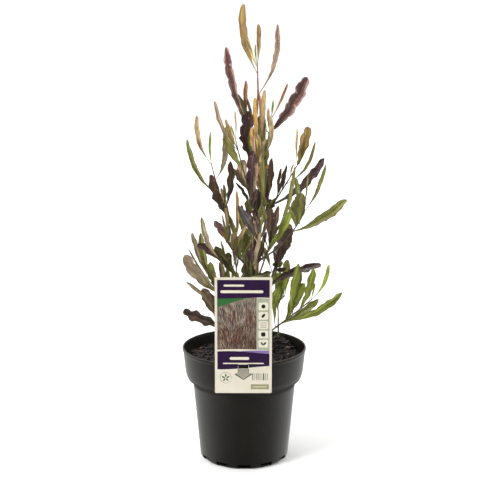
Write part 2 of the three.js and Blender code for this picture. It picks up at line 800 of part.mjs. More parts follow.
function keep(name, shape, color, roughness, metalness = 0) {
  const mesh = shape.getMesh();
  const position = new Float32Array(mesh.triVerts.length * 3);
  for (let i = 0; i < mesh.triVerts.length; i++) {
    for (let j = 0; j < 3; j++) {
      position[3 * i + j] = mesh.vertProperties[mesh.numProp * mesh.triVerts[i] + j];
    }
  }
  const geometry = new THREE.BufferGeometry();
  geometry.setAttribute("position", new THREE.BufferAttribute(position, 3));
  geometry.computeVertexNormals();
  const material = new THREE.MeshStandardMaterial({ color, roughness, metalness });
  const made = new THREE.Mesh(geometry, material);
  made.name = name;
  group.add(made);
  nodes.push({ name, shape, box: shape.boundingBox() });
}

function boxesMeet(a, b, gap) {
  return [0, 1, 2].every((i) => a.min[i] - gap < b.max[i] && b.min[i] - gap < a.max[i]);
}

// True where a piece keeps the gap to every node that is already there
function clear(shape) {
  const box = shape.boundingBox();
  return nodes.every(
    (node) => !boxesMeet(box, node.box, GAP) || shape.minGap(node.shape, GAP * 2) >= GAP,
  );
}

keep("pot", makePot(), 0x2f2e2a, 0.42);
keep("potting_mix", makeMix(), 0x2b211b, 0.95);
keep("label_card", makeCard(), 0x6b4f78, 0.35);
keep("trunk", trunk(0), 0x6a564c, 0.85);

const trunkRoom = trunk(GAP + 0.05);
const stems = SHOOTS.map((shoot) => {
  const path = shootPath(shoot);
  const long = size(sub(path(1), path(0)));
  const start = shoot.bare + (shoot.bare ? (GAP + 0.1) / long : 0);
  const fromTo = (a, b) => (t) => path(lerp(a, b, t));
  let bough = null;
  if (shoot.bare) {
    bough = limb(fromTo(0, shoot.bare), 5, BOUGH_SIDES, (t) => stemRadius(t * shoot.bare));
    bough = bough.subtract(trunkRoom);
  }
  let stem = limb(fromTo(start, 1), 5, STEM_SIDES, (t) => STEM_CORNER * stemRadius(lerp(start, 1, t)));
  if (shoot.ground) {
    const mix = nodes.find((node) => node.name === "potting_mix").shape;
    while (stem.minGap(mix, 2 * GAP) < GAP) stem = stem.translate([0, 0, GAP / 2]);
  } else if (!shoot.bare) {
    stem = stem.subtract(trunkRoom);
  }
  return { shoot, bough, stem, path };
});

function largest(shape) {
  return shape.decompose().sort((a, b) => b.volume() - a.volume())[0];
}

stems.forEach(({ shoot, bough }) => {
  if (bough) keep(`bough_${shoot.name}`, largest(bough), 0x6f5a4e, 0.8);
});
const stemNodes = stems.map(({ stem }) => ({ shape: largest(stem) }));
stemNodes.forEach((node) => {
  node.box = node.shape.boundingBox();
});

stems.forEach(({ shoot }, index) => {
  let mass = stemNodes[index].shape;
  const others = stemNodes.filter((_, i) => i > index);
  leafPlans(shoot, index).forEach((plan) => {
    const blade = leaf(plan);
    const box = blade.boundingBox();
    const meetsStem = others.some(
      (node) => boxesMeet(box, node.box, GAP) && blade.minGap(node.shape, GAP * 2) < GAP,
    );
    const joined = blade.intersect(mass).volume() > 0;
    if (meetsStem || !joined || !clear(blade)) return;
    mass = mass.add(blade);
  });
  keep(`leaves_${shoot.name}`, largest(largest(mass).simplify(FINEST)), TINTS[shoot.tint], 0.55);
});
export default group;
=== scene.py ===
import math

import bpy
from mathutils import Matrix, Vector, noise


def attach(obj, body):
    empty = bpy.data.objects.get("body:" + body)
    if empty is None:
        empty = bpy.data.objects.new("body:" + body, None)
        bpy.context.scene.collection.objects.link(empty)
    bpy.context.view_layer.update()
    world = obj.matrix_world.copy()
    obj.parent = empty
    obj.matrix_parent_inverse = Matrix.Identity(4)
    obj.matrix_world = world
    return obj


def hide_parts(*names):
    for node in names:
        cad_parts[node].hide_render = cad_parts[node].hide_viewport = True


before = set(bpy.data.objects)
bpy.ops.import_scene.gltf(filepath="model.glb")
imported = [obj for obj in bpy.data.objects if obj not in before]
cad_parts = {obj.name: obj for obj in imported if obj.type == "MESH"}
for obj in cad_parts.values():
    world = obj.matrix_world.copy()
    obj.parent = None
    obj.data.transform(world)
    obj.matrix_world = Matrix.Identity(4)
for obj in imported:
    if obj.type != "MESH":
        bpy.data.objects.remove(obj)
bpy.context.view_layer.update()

MM = 0.001

# Pot. The shoulder, the lip and the low part of the inside are rows of radius and height.
POT_SIDES = 128
POT_HEIGHT = 152.4
RIM_RADIUS = 82.5
WALL = 1.8
FLOOR = 2.4
BASE_RADIUS = 59.0
FOOT_ROUND = 5.0
FOOT_SPLAY = 0.3
FOOT_STEPS = 5
SHOULDER = [
    (68.6, 104.6),
    (69.3, 106.4),
    (71.0, 107.7),
    (73.3, 108.7),
    (75.4, 110.4),
    (76.7, 113.0),
    (77.7, 116.2),
    (78.6, 119.6),
]
LIP = [
    (81.5, 147.6),
    (82.1, 148.2),
    (RIM_RADIUS, 149.4),
    (RIM_RADIUS + 0.1, 151.3),
    (RIM_RADIUS - 0.2, 152.1),
    (RIM_RADIUS - 0.8, POT_HEIGHT),
]
COLLAR_INSIDE = (105, 148)
INSIDE_LOW = [
    (68.4 - WALL, 103.0),
    (BASE_RADIUS + 0.2 - WALL, FLOOR + 1.5),
    (BASE_RADIUS - 2.2 - WALL, FLOOR),
]
DRAIN_COUNT = 12
DRAIN_WIDTH = 17.0
DRAIN_HEIGHT = 7.0
DRAIN_DEPTH = 4.0

# Potting mix and its bark chips
MIX_HEIGHT = 137.0
MIX_SIDES = 84
MIX_RINGS = 22
MIX_GAP = 1.1
MIX_FOOT_GAP = 5.0
MIX_MOUND = 13.0
MOUND_AT = (47.0, 50.0)
MOUND_SPREAD = 20.0
MIX_BUMP = 3.4
BUMP_LENGTHS = (11.0, 4.3)
CALM_RADIUS = 12.0
CALM_EDGE = 14.0
CHIP_COUNT = 1500
CHIP_SIZES = (1.6, 8.0)
CHIP_SLAB = (1, 0.55, 0.26)
CHIP_CORNERS = 0.16
CHIP_TRUNK_GAP = 8.0
CHIP_DARK_SHARE = 0.74
CHIP_BROWN_SHARE = 0.86

# Care card, hooked over the front of the rim
CARD_WIDTH = 72.4
CARD_BOTTOM = 115.0
CARD_TOP = 267.0
CARD_THICK = 0.8
CARD_SIDE = -1.1
CARD_CORNER = 1.2
CARD_BACK = -83.2
SLOT_WIDTH = 13.0
SLOT_BOTTOM = 147.6
SLOT_TOP = 153.5
HOOK_WIDTH = 11.6
HOOK_THICK = 0.6
HOOK_DROP = 11.0
HOOK_INSET = 3.6

# Print on the card: sides from its middle line, heights from the ground
INK_FILM = 0.07
PRINT_EDGE = CARD_WIDTH / 2 - 3.2
HEAD_TOP = 263.8
PICTURE_LOW = 172.5
PICTURE_HIGH = 236.0
PICTURE_EDGE = PRINT_EDGE - 16.2
WEDGE_END = 2.0
SWEEP_START = -4.0
COLUMN_WIDTH = 15.6
TILE_COUNT = 5
TILE_TOP = 229.5
TILE_STEP = 12.2
FLOWER_AT = (-22.5, 135.5)
PLATE_AT = (21.0, 123.4)
STROKES_AT = (12.0, 136.8)
STROKE_STEP = 2.3
STROKE_WIDTHS = (1.1, 0.6, 1.5, 0.8)
TWIG_STROKES = 380
TWIG_LEANS = (118, 62)
TWIG_SPREAD = 26
TWIG_LENGTHS = (5.0, 17.0)

# Trunk and shoots, as in the source
TRUNK_FOOT = (11.0, 0.0)
TRUNK_TIP = 486.0
TRUNK_FOOT_RADIUS = 4.2
TRUNK_TIP_RADIUS = 1.5
TRUNK_TAPER = 0.75
FLARE = 2.4
FLARE_HEIGHT = 9.0
TRUNK_SWAY = (3.4, 2.6)
TRUNK_WAVES = (2.1, 1.6)
TRUNK_LEAN = (6.5, -1.0)
STEM_RADIUS = 1.4
STEM_TIP_RADIUS = 0.65
LEAF_WAVE = 0.05
LEAF_LEAN = (0.1, 0.42)
LEAF_ARCH = (0.04, 0.1)
LEAF_ROLL = 0.62
EYE_DISTANCE = 1580.0
EYE_HEIGHT = 632.0

# The rule that adds the spray of a shoot, as in the source
GOLDEN_ANGLE = 137.5
SHOOT_SEED = 1000
FULL_TURN = 6.3
SPRAY_SEED = 500
SPRAY_FROM = (0.08, 0.3)
SPRAY_TURNS = (61, 30)
SPRAY_LEAN = (0.3, 0.85)
SPRAY_SIDEWAYS = 0.62
SPRAY_OUTWARD = 0.35
SPRAY_WIDTH = (0.13, 0.2)
SPRAY_BOW = 0.16
SPRAY_ROLL = 2.4

# Fine growth of this scene: side twigs and their small leaves
FINE_SEED = 700
FINE_FROM = (0.06, 0.16)
FINE_TO = 0.97
FINE_TURNS = (83, 40)
FINE_LEAN = (0.3, 0.7)
FINE_SIDEWAYS = 0.7
FINE_TWIG = (9, 20)
FINE_RISE = 2
FINE_LEAF = (24, 46)
FINE_WIDTH = (0.12, 0.2)
FINE_BOW = 0.14
FINE_ROLL = 2.0
LIGHT_TINTS = ["olive", "tan"]

# Steps along the limbs and corners round them
TRUNK_RINGS = (170, 16)
BOUGH_RINGS = (44, 9)
STEM_RINGS = (30, 7)
TWIG_RINGS = (6, 5)
TWIG_RADII = (0.62, 0.38)

# Camera and lamps. A lamp is its name, place, size and power.
CAMERA_PLACE = (0, -1.5803, 0.632)
CAMERA_DOWN = 0.2088
CAMERA_ROLL = 0.0036
CAMERA_LENS = 92.18
CAMERA_SENSOR = 36
LAMP_TARGET = (0, 0, 0.3)
LAMPS = [
    ("key", (-1.5, -1.3, 1.7), 0.8, 46),
    ("fill", (1.7, -1.3, 1.1), 0.9, 9),
    ("top", (0.1, 0.3, 2.4), 1.8, 16),
]

# Each shoot and the leaves placed by their tips, as in the source, in the tints of this scene. A shoot
# leaves the trunk at the height foot and ends at side, away and up. It is a bare bough as far as bare,
# a share of its length. bend above 0 runs out first and then rises. A leaf is its share along the
# shoot, side and up of its tip, width, bow, tint, and where it matters its lean away. spray is the
# number of further leaves that the seeded rule adds, long their length, tints their colours.
SHOOTS = [
    dict(
        name="top", foot=TRUNK_TIP, side=16.5, away=-2, up=526, bend=0, bare=0,
        tint="gold", spray=0, long=(18, 30), tints=["gold", "tan"], leaves=[
            (0.72, -1.4, 602, 9.5, -7.2, "bronze"), (0.95, 17.6, 577, 5.6, 1.0, "bronze"),
            (0.9, 1.0, 566, 5.5, -1, "straw"), (0.95, 14, 552, 2.4, -1, "lime"),
            (0.03, 42, 577, 6.4, 8.6, "pink"),
        ],
    ),
    dict(
        name="upper_left", foot=394, side=1, away=-20, up=455, bend=0.1, bare=0,
        tint="dark", spray=1, long=(24, 36), tints=["olive", "brown"], leaves=[
            (1.0, -24, 548, 10, -4.8, "mauve"), (0.8, 2, 506, 5.6, -1, "rust"),
            (0.2, 4, 467, 16, -6, "dark"), (0.7, -9, 489, 9, 2, "moss"),
            (0.6, 4, 483, 3.5, 4, "brown"), (0.34, 9, 446, 5, 1.0, "gold", -0.5),
            (0.3, 7, 441, 6, -1, "olive"),
        ],
    ),
    dict(
        name="upper_right", foot=372, side=35, away=24, up=459, bend=0.16, bare=0.42,
        tint="mauve", spray=1, long=(24, 36), tints=["gold", "green", "olive"], leaves=[
            (0.8, 80.5, 510, 15, 4, "mauve"), (0.98, 55.6, 502, 3.4, 1.5, "rust"),
            (1.0, 37, 481, 2.8, 0, "lime"), (0.82, 31, 471, 4.2, 0, "pink"),
            (0.48, 34, 461, 6.5, 5, "straw"),
        ],
    ),
    dict(
        name="upper_front", foot=376, side=22, away=-34, up=444, bend=0.24, bare=0,
        tint="gold", spray=1, long=(26, 38), tints=["gold", "olive", "tan"], leaves=[
            (0.5, 26, 494, 6.5, 0, "tan"), (0.7, 19, 489, 4, 2, "rust"),
            (0.55, 13.6, 484, 5.4, -1, "gold"), (0.5, 14, 471, 3.6, -1, "rust"),
            (0.4, 19, 461, 6.5, -1, "olive"), (0.45, 25, 461, 6.5, 1.0, "olive"),
            (0.2, 12, 447, 4.2, -1, "pink", -0.2), (0.3, 27, 452, 5, 2, "straw"),
        ],
    ),
    dict(
        name="left_upper", foot=250, side=-43, away=30, up=398, bend=0.12, bare=0.44,
        tint="olive", spray=0, long=(22, 34), tints=["tan", "brown"], leaves=[
            (1.0, -61.4, 461, 6.4, -6.5, "tan"), (0.97, -43.8, 440, 3.6, -2, "lime"),
            (0.73, -74.6, 431, 6.4, -9.5, "olive"), (0.88, -26, 430, 7.5, 6, "dusk"),
            (0.58, -45, 384, 11.5, -4, "brown"), (0.62, -30.5, 367, 4.5, 0, "pink"),
            (0.66, -27, 372, 4, 1.0, "olive"), (0.5, -26, 352, 6, -1, "tan"),
            (0.64, -18, 402, 9, 3, "brown"),
        ],
    ),
    dict(
        name="left_inner", foot=344, side=-11.5, away=-34, up=430, bend=0.06, bare=0.2,
        tint="olive", spray=0, long=(24, 36), tints=["dark", "brown", "mauve"], leaves=[
            (0.85, -39, 480, 5.4, -6, "pink"), (0.6, -24, 447, 12.5, -5, "olive"),
            (0.85, -25, 456, 5, -1, "tan"), (1.0, -12, 467, 2.6, 1.0, "pink"),
            (0.98, -18, 449, 2.4, 0, "lime"), (0.3, -2, 404, 13.5, -4, "pink"),
            (0.25, -14, 392, 6, -2, "brown"),
        ],
    ),
    dict(
        name="left_middle", foot=252, side=-24, away=-42, up=297, bend=0.1, bare=0.3,
        tint="olive", spray=3, long=(22, 34), tints=["dark", "olive", "brown"], leaves=[
            (1.0, -39.5, 323, 9, 1, "plum"), (0.95, -24, 316, 11, 1.0, "moss"),
            (0.95, -29, 331, 3, 0, "olive"), (0.7, -9.5, 363, 5, 3, "tan"),
            (0.52, -8.5, 303, 10, 0, "olive"), (0.36, -3, 308, 15, 1, "olive"),
            (0.4, -13, 284, 5, 0, "tan"),
        ],
    ),
    dict(
        name="left_low_middle", foot=222, side=-26, away=-26, up=265, bend=0.06, bare=0.34,
        tint="tan", spray=2, long=(20, 32), tints=["brown", "olive", "dark"], leaves=[
            (1.0, -56.4, 328, 6.8, -7, "dusk"), (0.98, -62, 292, 10, 2, "dark"),
            (0.6, -39, 289, 12, 1.0, "moss"), (0.78, -22, 281, 9, -1, "moss"),
            (0.88, -31, 298, 3, 0, "olive"),
        ],
    ),
    dict(
        name="left_low", foot=172, side=-40, away=30, up=238, bend=0.1, bare=0.4,
        tint="tan", spray=1, long=(20, 32), tints=["tan", "green"], leaves=[
            (1.0, -57.4, 307, 9, -4, "olive"), (0.96, -69, 307, 7, -4, "dusk"),
            (0.82, -79, 277, 15, -4, "dusk"), (0.86, -74, 286, 2.6, -3, "olive"),
            (0.9, -44.5, 268, 11, -1, "olive"), (0.72, -32, 268, 8, 2, "dusk"),
        ],
    ),
    dict(
        name="left_lowest", foot=150, side=-38, away=-8, up=194, bend=0.14, bare=0.4,
        tint="brown", spray=1, long=(20, 30), tints=["brown", "green"], leaves=[
            (0.98, -77, 240, 5, 5, "dusk"), (0.95, -55, 232, 15, 1.0, "brown"),
            (0.7, -82, 199, 13, -1, "umber"), (0.9, -41, 210, 6, 0, "moss"),
        ],
    ),
    dict(
        name="centre_front", foot=190, side=8, away=-58, up=258, bend=0.2, bare=0.34,
        tint="olive", spray=3, long=(26, 38), tints=["dark", "olive", "moss"], leaves=[
            (0.8, 1.5, 268, 16.5, 0, "moss"), (1.0, 9, 287, 9, 0, "dark"),
            (0.9, 36, 254, 7, 1, "moss", -0.1), (0.9, 21.5, 307, 5.5, 1, "dusk", -0.1),
        ],
    ),
    dict(
        name="centre_high", foot=236, side=18, away=-46, up=296, bend=0.2, bare=0.2,
        tint="mauve", spray=2, long=(28, 42), tints=["brown", "dark"], leaves=[
            (1.0, -8.3, 344, 11, 1, "slate", -0.45),
        ],
    ),
    dict(
        name="centre_left", foot=322, side=8, away=-24, up=350, bend=0.1, bare=0,
        tint="dark", spray=4, long=(30, 44), tints=["dark", "brown", "moss"], leaves=[
            (1.0, 12, 416, 11, -1, "dark"), (0.9, 17, 400, 4, 1.0, "pink", -0.3),
            (0.5, 5, 352, 10, -1, "moss"), (0.4, 18, 366, 8, 1.0, "slate", -0.3),
        ],
    ),
    dict(
        name="right_upper", foot=312, side=69.5, away=34, up=398, bend=0.03, bare=0.36,
        tint="olive", spray=0, long=(22, 34), tints=["mauve", "green"], leaves=[
            (1.0, 81, 447, 12.4, 0, "gold"), (0.98, 68.2, 445, 3.4, -1, "straw"),
            (0.7, 91.8, 428, 4.4, 9, "olive"), (0.38, 104, 405.5, 11, 8, "dark"),
            (0.42, 55, 397, 5, 1.0, "brown"), (0.5, 48, 393, 4.5, -1, "brown"),
            (0.6, 54, 384, 2.6, 0, "mauve"), (0.82, 64, 398, 2.4, -1, "tan"),
        ],
    ),
    dict(
        name="right_middle", foot=268, side=79, away=-38, up=336, bend=0.16, bare=0.46,
        tint="green", spray=1, long=(22, 34), tints=["olive", "green"], leaves=[
            (1.0, 106, 398, 5, 3.6, "olive"), (0.95, 83, 387, 2.4, 1.0, "olive"),
            (0.82, 74, 361, 15, -1, "olive"), (0.78, 67, 352, 10, -2, "olive"),
            (0.8, 78, 350, 6, 2, "lime"), (0.68, 134.4, 351, 12, 6, "olive"),
        ],
    ),
    dict(
        name="centre_upper", foot=300, side=31, away=-6, up=352, bend=0.14, bare=0.2,
        tint="olive", spray=5, long=(28, 42), tints=["olive", "brown", "moss"], leaves=[
            (1.0, 35, 405, 8, 1.0, "brown"), (0.85, 27, 386, 9, 0, "dark"),
            (0.4, 24, 408, 6.5, 1, "olive"), (0.7, 35, 352, 10, 2, "dark"),
        ],
    ),
    dict(
        name="centre_right", foot=240, side=35, away=-32, up=297, bend=0.02, bare=0.34,
        tint="brown", spray=4, long=(24, 36), tints=["dark", "brown", "olive"], leaves=[
            (1.0, 66, 395, 5.5, 7, "olive"), (0.94, 34, 340, 12, 0, "brown"),
            (0.97, 45, 343, 8, 1.0, "brown"), (0.88, 38, 309, 8, 0, "lime"),
            (0.72, 64, 340, 9, 3, "lime", 0.1),
        ],
    ),
    dict(
        name="right_low_middle", foot=203, side=44, away=26, up=267, bend=0.06, bare=0.4,
        tint="brown", spray=2, long=(20, 32), tints=["olive", "dark"], leaves=[
            (1.0, 54.5, 321, 21, 0, "brown"), (0.92, 40, 268, 6.5, -1, "olive"),
            (0.9, 48, 271, 9, 1.0, "green"), (0.45, 101.5, 264.5, 9.5, -6, "umber", -0.5),
            (0.86, 56, 259, 6, 1.0, "brown"),
        ],
    ),
    dict(
        name="right_low", foot=156, side=91, away=-30, up=218, bend=0.03, bare=0.34,
        tint="green", spray=1, long=(20, 30), tints=["green", "lime"], leaves=[
            (0.62, 71.5, 266, 9, -2, "green"), (0.56, 80, 239, 14, -1, "green"),
            (0.8, 92, 259, 10, 2, "green"), (1.0, 112.4, 265, 5.4, 5, "lime"),
            (0.97, 94, 239, 2.6, 0, "lime"), (0.37, 49, 243, 8, -4, "green"),
            (0.45, 99, 217, 9.5, 3, "green"), (0.5, 130, 226, 10.5, 6.6, "green"),
        ],
    ),
    dict(
        name="back_low_left", foot=178, side=-20, away=68, up=222, bend=0.14, bare=0.36,
        tint="olive", spray=9, long=(34, 52), tints=["green", "olive", "brown"], leaves=[],
    ),
    dict(
        name="back_low_right", foot=190, side=54, away=66, up=222, bend=0.14, bare=0.36,
        tint="green", spray=8, long=(34, 48), tints=["green", "lime", "olive"], leaves=[],
    ),
    dict(
        name="back_middle", foot=240, side=9, away=78, up=304, bend=0.1, bare=0.36,
        tint="brown", spray=11, long=(34, 52), tints=["dark", "brown", "olive", "plum"], leaves=[],
    ),
    dict(
        name="back_upper", foot=326, side=22, away=58, up=390, bend=0.1, bare=0.3,
        tint="gold", spray=10, long=(38, 60), tints=["gold", "olive", "mauve"], leaves=[],
    ),
    dict(
        name="front_low", foot=172, side=26, away=-60, up=206, bend=0.16, bare=0.4,
        tint="olive", spray=7, long=(28, 42), tints=["green", "brown", "olive"], leaves=[],
    ),
    dict(
        name="sucker", ground=[47, 50], foot=150, side=45, away=42, up=206, bend=0.05, bare=0,
        tint="lime", spray=0, long=(20, 30), tints=["lime"], leaves=[
            (1.0, 50, 234, 5, 0, "green"), (0.85, 43, 226, 4, -1, "lime"),
        ],
    ),
]


# Numbers and lines of growth


def dice(seed):
    """A stream of numbers from 0 to 1, one for each leaf, twig or chip, as in the source."""
    state = [(seed * 2654435 + 12345) % 4294967296]

    def roll():
        state[0] = (state[0] * 1664525 + 1013904223) % 4294967296
        return state[0] / 4294967296

    roll()
    roll()
    return roll


def shoot_dice(index, k):
    return dice(SHOOT_SEED * (index + 1) + k)


def lerp(a, b, t):
    return a + (b - a) * t


def sign(value):
    return (value > 0) - (value < 0)


def place(side, up, away):
    """A side and a height on the upright plane through the pot's axis, moved away along the sight."""
    share = (EYE_DISTANCE + away) / EYE_DISTANCE
    return Vector((side * share, away, EYE_HEIGHT - (EYE_HEIGHT - up) * share))


def trunk_at(z):
    t = (z - MIX_HEIGHT) / (TRUNK_TIP - MIX_HEIGHT)
    side_sway = math.sin(t * math.pi * TRUNK_WAVES[0] - 0.35)
    depth_sway = math.sin(t * math.pi * TRUNK_WAVES[1])
    return Vector((
        TRUNK_FOOT[0] + TRUNK_LEAN[0] * t + TRUNK_SWAY[0] * side_sway,
        TRUNK_FOOT[1] + TRUNK_LEAN[1] * t + TRUNK_SWAY[1] * depth_sway,
        z,
    ))


def trunk_radius(z):
    t = max(0.0, (z - MIX_HEIGHT) / (TRUNK_TIP - MIX_HEIGHT))
    flare = FLARE * math.exp(-(z - MIX_HEIGHT) / FLARE_HEIGHT)
    return lerp(TRUNK_FOOT_RADIUS, TRUNK_TIP_RADIUS, t ** TRUNK_TAPER) + flare


def shoot_path(shoot):
    if "ground" in shoot:
        root = Vector((*shoot["ground"], shoot["foot"]))
    else:
        root = trunk_at(shoot["foot"])
    tip = place(shoot["side"], shoot["up"], shoot["away"])
    out = 0.5 + shoot["bend"]
    lift = 0.5 - shoot["bend"]
    knee = Vector((lerp(root.x, tip.x, out), lerp(root.y, tip.y, out), lerp(root.z, tip.z, lift)))
    return lambda t: root.lerp(knee, t).lerp(knee.lerp(tip, t), t)


def bearing(index, k, turns, roll):
    """Round the shoot from leaf to leaf by the golden angle, from its own start and with a stray."""
    start, stray = turns
    return math.radians(k * GOLDEN_ANGLE + index * start + stray * roll())


def heading(lean, towards, sideways, outward=0.0):
    """The way of a twig or leaf that leans from upright by lean, with its side reach cut to sideways."""
    return Vector((
        math.sin(lean) * math.cos(towards) * sideways,
        math.sin(lean) * (math.sin(towards) + outward),
        math.cos(lean),
    )).normalized()


def named_plans(shoot, index):
    """The leaves that the source places by their tips."""
    path = shoot_path(shoot)
    plans = []
    for k, row in enumerate(shoot["leaves"]):
        at, side, up, width, bow, tint = row[:6]
        given = row[6] if len(row) > 6 else None
        roll = shoot_dice(index, k)
        root = path(at)
        long = (place(side, up, root.y) - root).length
        first = (1 if k % 2 else -1) * lerp(*LEAF_LEAN, roll())
        lean = first if given is None else given
        turn = (roll() - 0.5) * 2 * LEAF_ROLL
        arch = -sign(lean) * lerp(*LEAF_ARCH, roll())
        plans.append({
            "root": root, "tip": place(side, up, root.y + lean * long), "width": width / math.cos(turn),
            "bow": bow, "turn": turn, "arch": arch, "tint": tint, "roll": roll, "large": True,
        })
    return plans


def first_share(shoot, start):
    """Share of the shoot at which a rule begins: just past the bare part, or further up."""
    past_bare, least = start
    return max(shoot["bare"] + past_bare, least)


def grown_plan(roll, root, way, long, shape, tints):
    """A leaf of a seeded rule. Its numbers are drawn in the source's order."""
    widths, bow, turn = shape
    return {
        "root": root, "tip": root + way * long, "width": long * lerp(*widths, roll()),
        "bow": (roll() - 0.5) * bow * long, "turn": (roll() - 0.5) * turn,
        "arch": -sign(way.y) * lerp(*LEAF_ARCH, roll()),
        "tint": tints[int(roll() * len(tints))], "roll": roll, "large": False,
    }


def spray_plans(shoot, index):
    """The leaves that the seeded rule adds along the shoot."""
    path = shoot_path(shoot)
    outward = sign(shoot["away"]) * SPRAY_OUTWARD
    first = first_share(shoot, SPRAY_FROM)
    plans = []
    for k in range(shoot["spray"]):
        roll = shoot_dice(index, SPRAY_SEED + k)
        root = path(lerp(first, 1, (k + 0.6) / shoot["spray"]))
        towards = bearing(index, k, SPRAY_TURNS, roll)
        way = heading(lerp(*SPRAY_LEAN, roll()), towards, SPRAY_SIDEWAYS, outward)
        long = lerp(*shoot["long"], roll())
        shape = (SPRAY_WIDTH, SPRAY_BOW, SPRAY_ROLL)
        plans.append(grown_plan(roll, root, way, long, shape, shoot["tints"]))
    return plans


def fine_growth(shoot, index):
    """Side twigs finer than the source's, three for four spray leaves, each with one or two leaves."""
    path = shoot_path(shoot)
    tints = shoot["tints"] + LIGHT_TINTS
    count = (shoot["spray"] * 3 + 3) // 4
    first = first_share(shoot, FINE_FROM)
    twigs = []
    plans = []
    for k in range(count):
        roll = shoot_dice(index, FINE_SEED + k)
        root = path(lerp(first, FINE_TO, (k + roll()) / count))
        towards = bearing(index, k, FINE_TURNS, roll)
        way = heading(lerp(*FINE_LEAN, roll()), towards, FINE_SIDEWAYS)
        long = lerp(*FINE_TWIG, roll())
        end = root + way * long + Vector((0, 0, FINE_RISE))
        twigs.append((root, root + way * long * 0.55, end))
        for i in range(1 + int(roll() * 2)):
            start = root.lerp(end, (1.0, 0.6)[i])
            spread_out = Vector((roll() - 0.5, roll() - 0.5, 0)) * 0.9
            leaf_way = (way + spread_out + Vector((0, 0, 0.5))).normalized()
            size = lerp(*FINE_LEAF, roll())
            shape = (FINE_WIDTH, FINE_BOW, FINE_ROLL)
            plans.append(grown_plan(roll, start, leaf_way, size, shape, tints))
    return twigs, plans


# Skins: points, faces and what each face is made of


def new_skin():
    return {"points": [], "faces": [], "kinds": [], "spots": [], "shades": []}


def add_ring(skin, ring, spots, shade=0.5):
    start = len(skin["points"])
    skin["points"] += ring
    skin["spots"] += spots
    skin["shades"] += [shade] * len(ring)
    return start


def bridge(skin, a, b, count, kinds):
    """Quads from the ring that starts at a to the next one, which starts at b."""
    for i in range(count):
        j = (i + 1) % count
        skin["faces"].append((a + i, a + j, b + j, b + i))
        skin["kinds"].append(kinds[i])


def limb(skin, path, rings, radius, kind=0):
    """A tapering limb along a path, closed at both ends. rings is its steps and the corners of each."""
    steps, sides = rings
    across = Vector((1, 0, 0))
    starts = []
    for k in range(steps + 1):
        t = k / steps
        here = path(t)
        along = (path(min(1, t + 0.01)) - path(max(0, t - 0.01))).normalized()
        across = (across - along * across.dot(along)).normalized()
        up = along.cross(across)
        ring = []
        for i in range(sides):
            a = 2 * math.pi * i / sides
            r = radius(t, a)
            ring.append(here + across * (r * math.cos(a)) + up * (r * math.sin(a)))
        starts.append(add_ring(skin, ring, [(i / sides, t) for i in range(sides)]))
    for a, b in zip(starts, starts[1:]):
        bridge(skin, a, b, sides, [kind] * sides)
    skin["faces"].append(tuple(range(starts[0] + sides - 1, starts[0] - 1, -1)))
    skin["faces"].append(tuple(range(starts[-1], starts[-1] + sides)))
    skin["kinds"] += [kind, kind]


# Width of a leaf along its length, as a share of its full width
LEAF_OUTLINE = [
    (0.0, 0.07),
    (0.08, 0.1),
    (0.16, 0.17),
    (0.24, 0.3),
    (0.37, 0.6),
    (0.5, 0.86),
    (0.61, 0.97),
    (0.72, 1.0),
    (0.81, 0.96),
    (0.89, 0.82),
    (0.95, 0.6),
    (0.985, 0.34),
    (0.995, 0.2),
]
# Ruffle of the margin as a share of the width, fold along the midrib, and how sharply the tip narrows
LEAF_HABIT = {
    "gold": (0.1, 0.38, 0.5),
    "bronze": (0.1, 0.38, 0.5),
    "tan": (0.1, 0.38, 0.6),
    "straw": (0.08, 0.38, 0.7),
    "rust": (0.1, 0.4, 0.8),
    "umber": (0.3, 0.34, 0.4),
    "brown": (0.2, 0.36, 0.9),
    "dark": (0.24, 0.34, 0.9),
    "mauve": (0.18, 0.28, 0.7),
    "pink": (0.16, 0.36, 0.8),
    "dusk": (0.16, 0.36, 0.7),
    "slate": (0.18, 0.3, 1.7),
    "plum": (0.18, 0.32, 0.9),
    "olive": (0.12, 0.38, 1.0),
    "green": (0.12, 0.36, 0.9),
    "lime": (0.08, 0.38, 1.0),
    "moss": (0.14, 0.38, 0.9),
}
TIP_FROM = 0.72
# How early a leaf fills out, as a power of its outline, when it is broad for its length or strap-shaped
BROAD = (0.12, 0.24)
BROAD_POWER = 0.5
STRAP_POWER = 0.6
STRAP_TINTS = ("dark", "mauve", "umber")
# Ripples of a margin: their length, the strengths of the two waves in them, the rate of the second
# one, and how far the lift is out of step with the outline
RIPPLE_LENGTHS = (12, 21)
RIPPLES = (0.65, 0.35)
RIPPLE_RATE = 1.73
LIFT_STEP = 0.8
# Section of a blade: its least half width, how deep its root and keel go, and the lines halfway to
# the margins, as shares of the half width, of the fold and of the ruffle
LEAST_HALF = 0.5
ROOT_SUNK = 0.8
KEEL = (0.8, 0.32)
HALFWAY = (0.55, 0.7, 0.15)


def width_share(t):
    for (t0, w0), (t1, w1) in zip(LEAF_OUTLINE, LEAF_OUTLINE[1:]):
        if t <= t1:
            return lerp(w0, w1, (t - t0) / (t1 - t0))
    return LEAF_OUTLINE[-1][1]


def blade_stations(long, large):
    """Shares of the length at which a blade has a ring, closer together on a large one."""
    steps = max(9, min(26, int(long / 3.6))) if large else max(7, int(long / 5))
    return sorted(set([round(0.96 * k / steps, 3) for k in range(steps + 1)] + [0.985, 0.995]))


def margin(half, ruffle, first, ripple):
    """How far out one margin stands from the midrib, and how far its ruffle lifts it."""
    beat = first + ripple
    second = RIPPLE_RATE * beat + 2 * first
    out = RIPPLES[0] * math.sin(beat) + RIPPLES[1] * math.sin(second)
    lift = RIPPLES[0] * math.cos(beat + LIFT_STEP) + RIPPLES[1] * math.cos(second)
    return half * (1 + ruffle * out), half * ruffle * lift


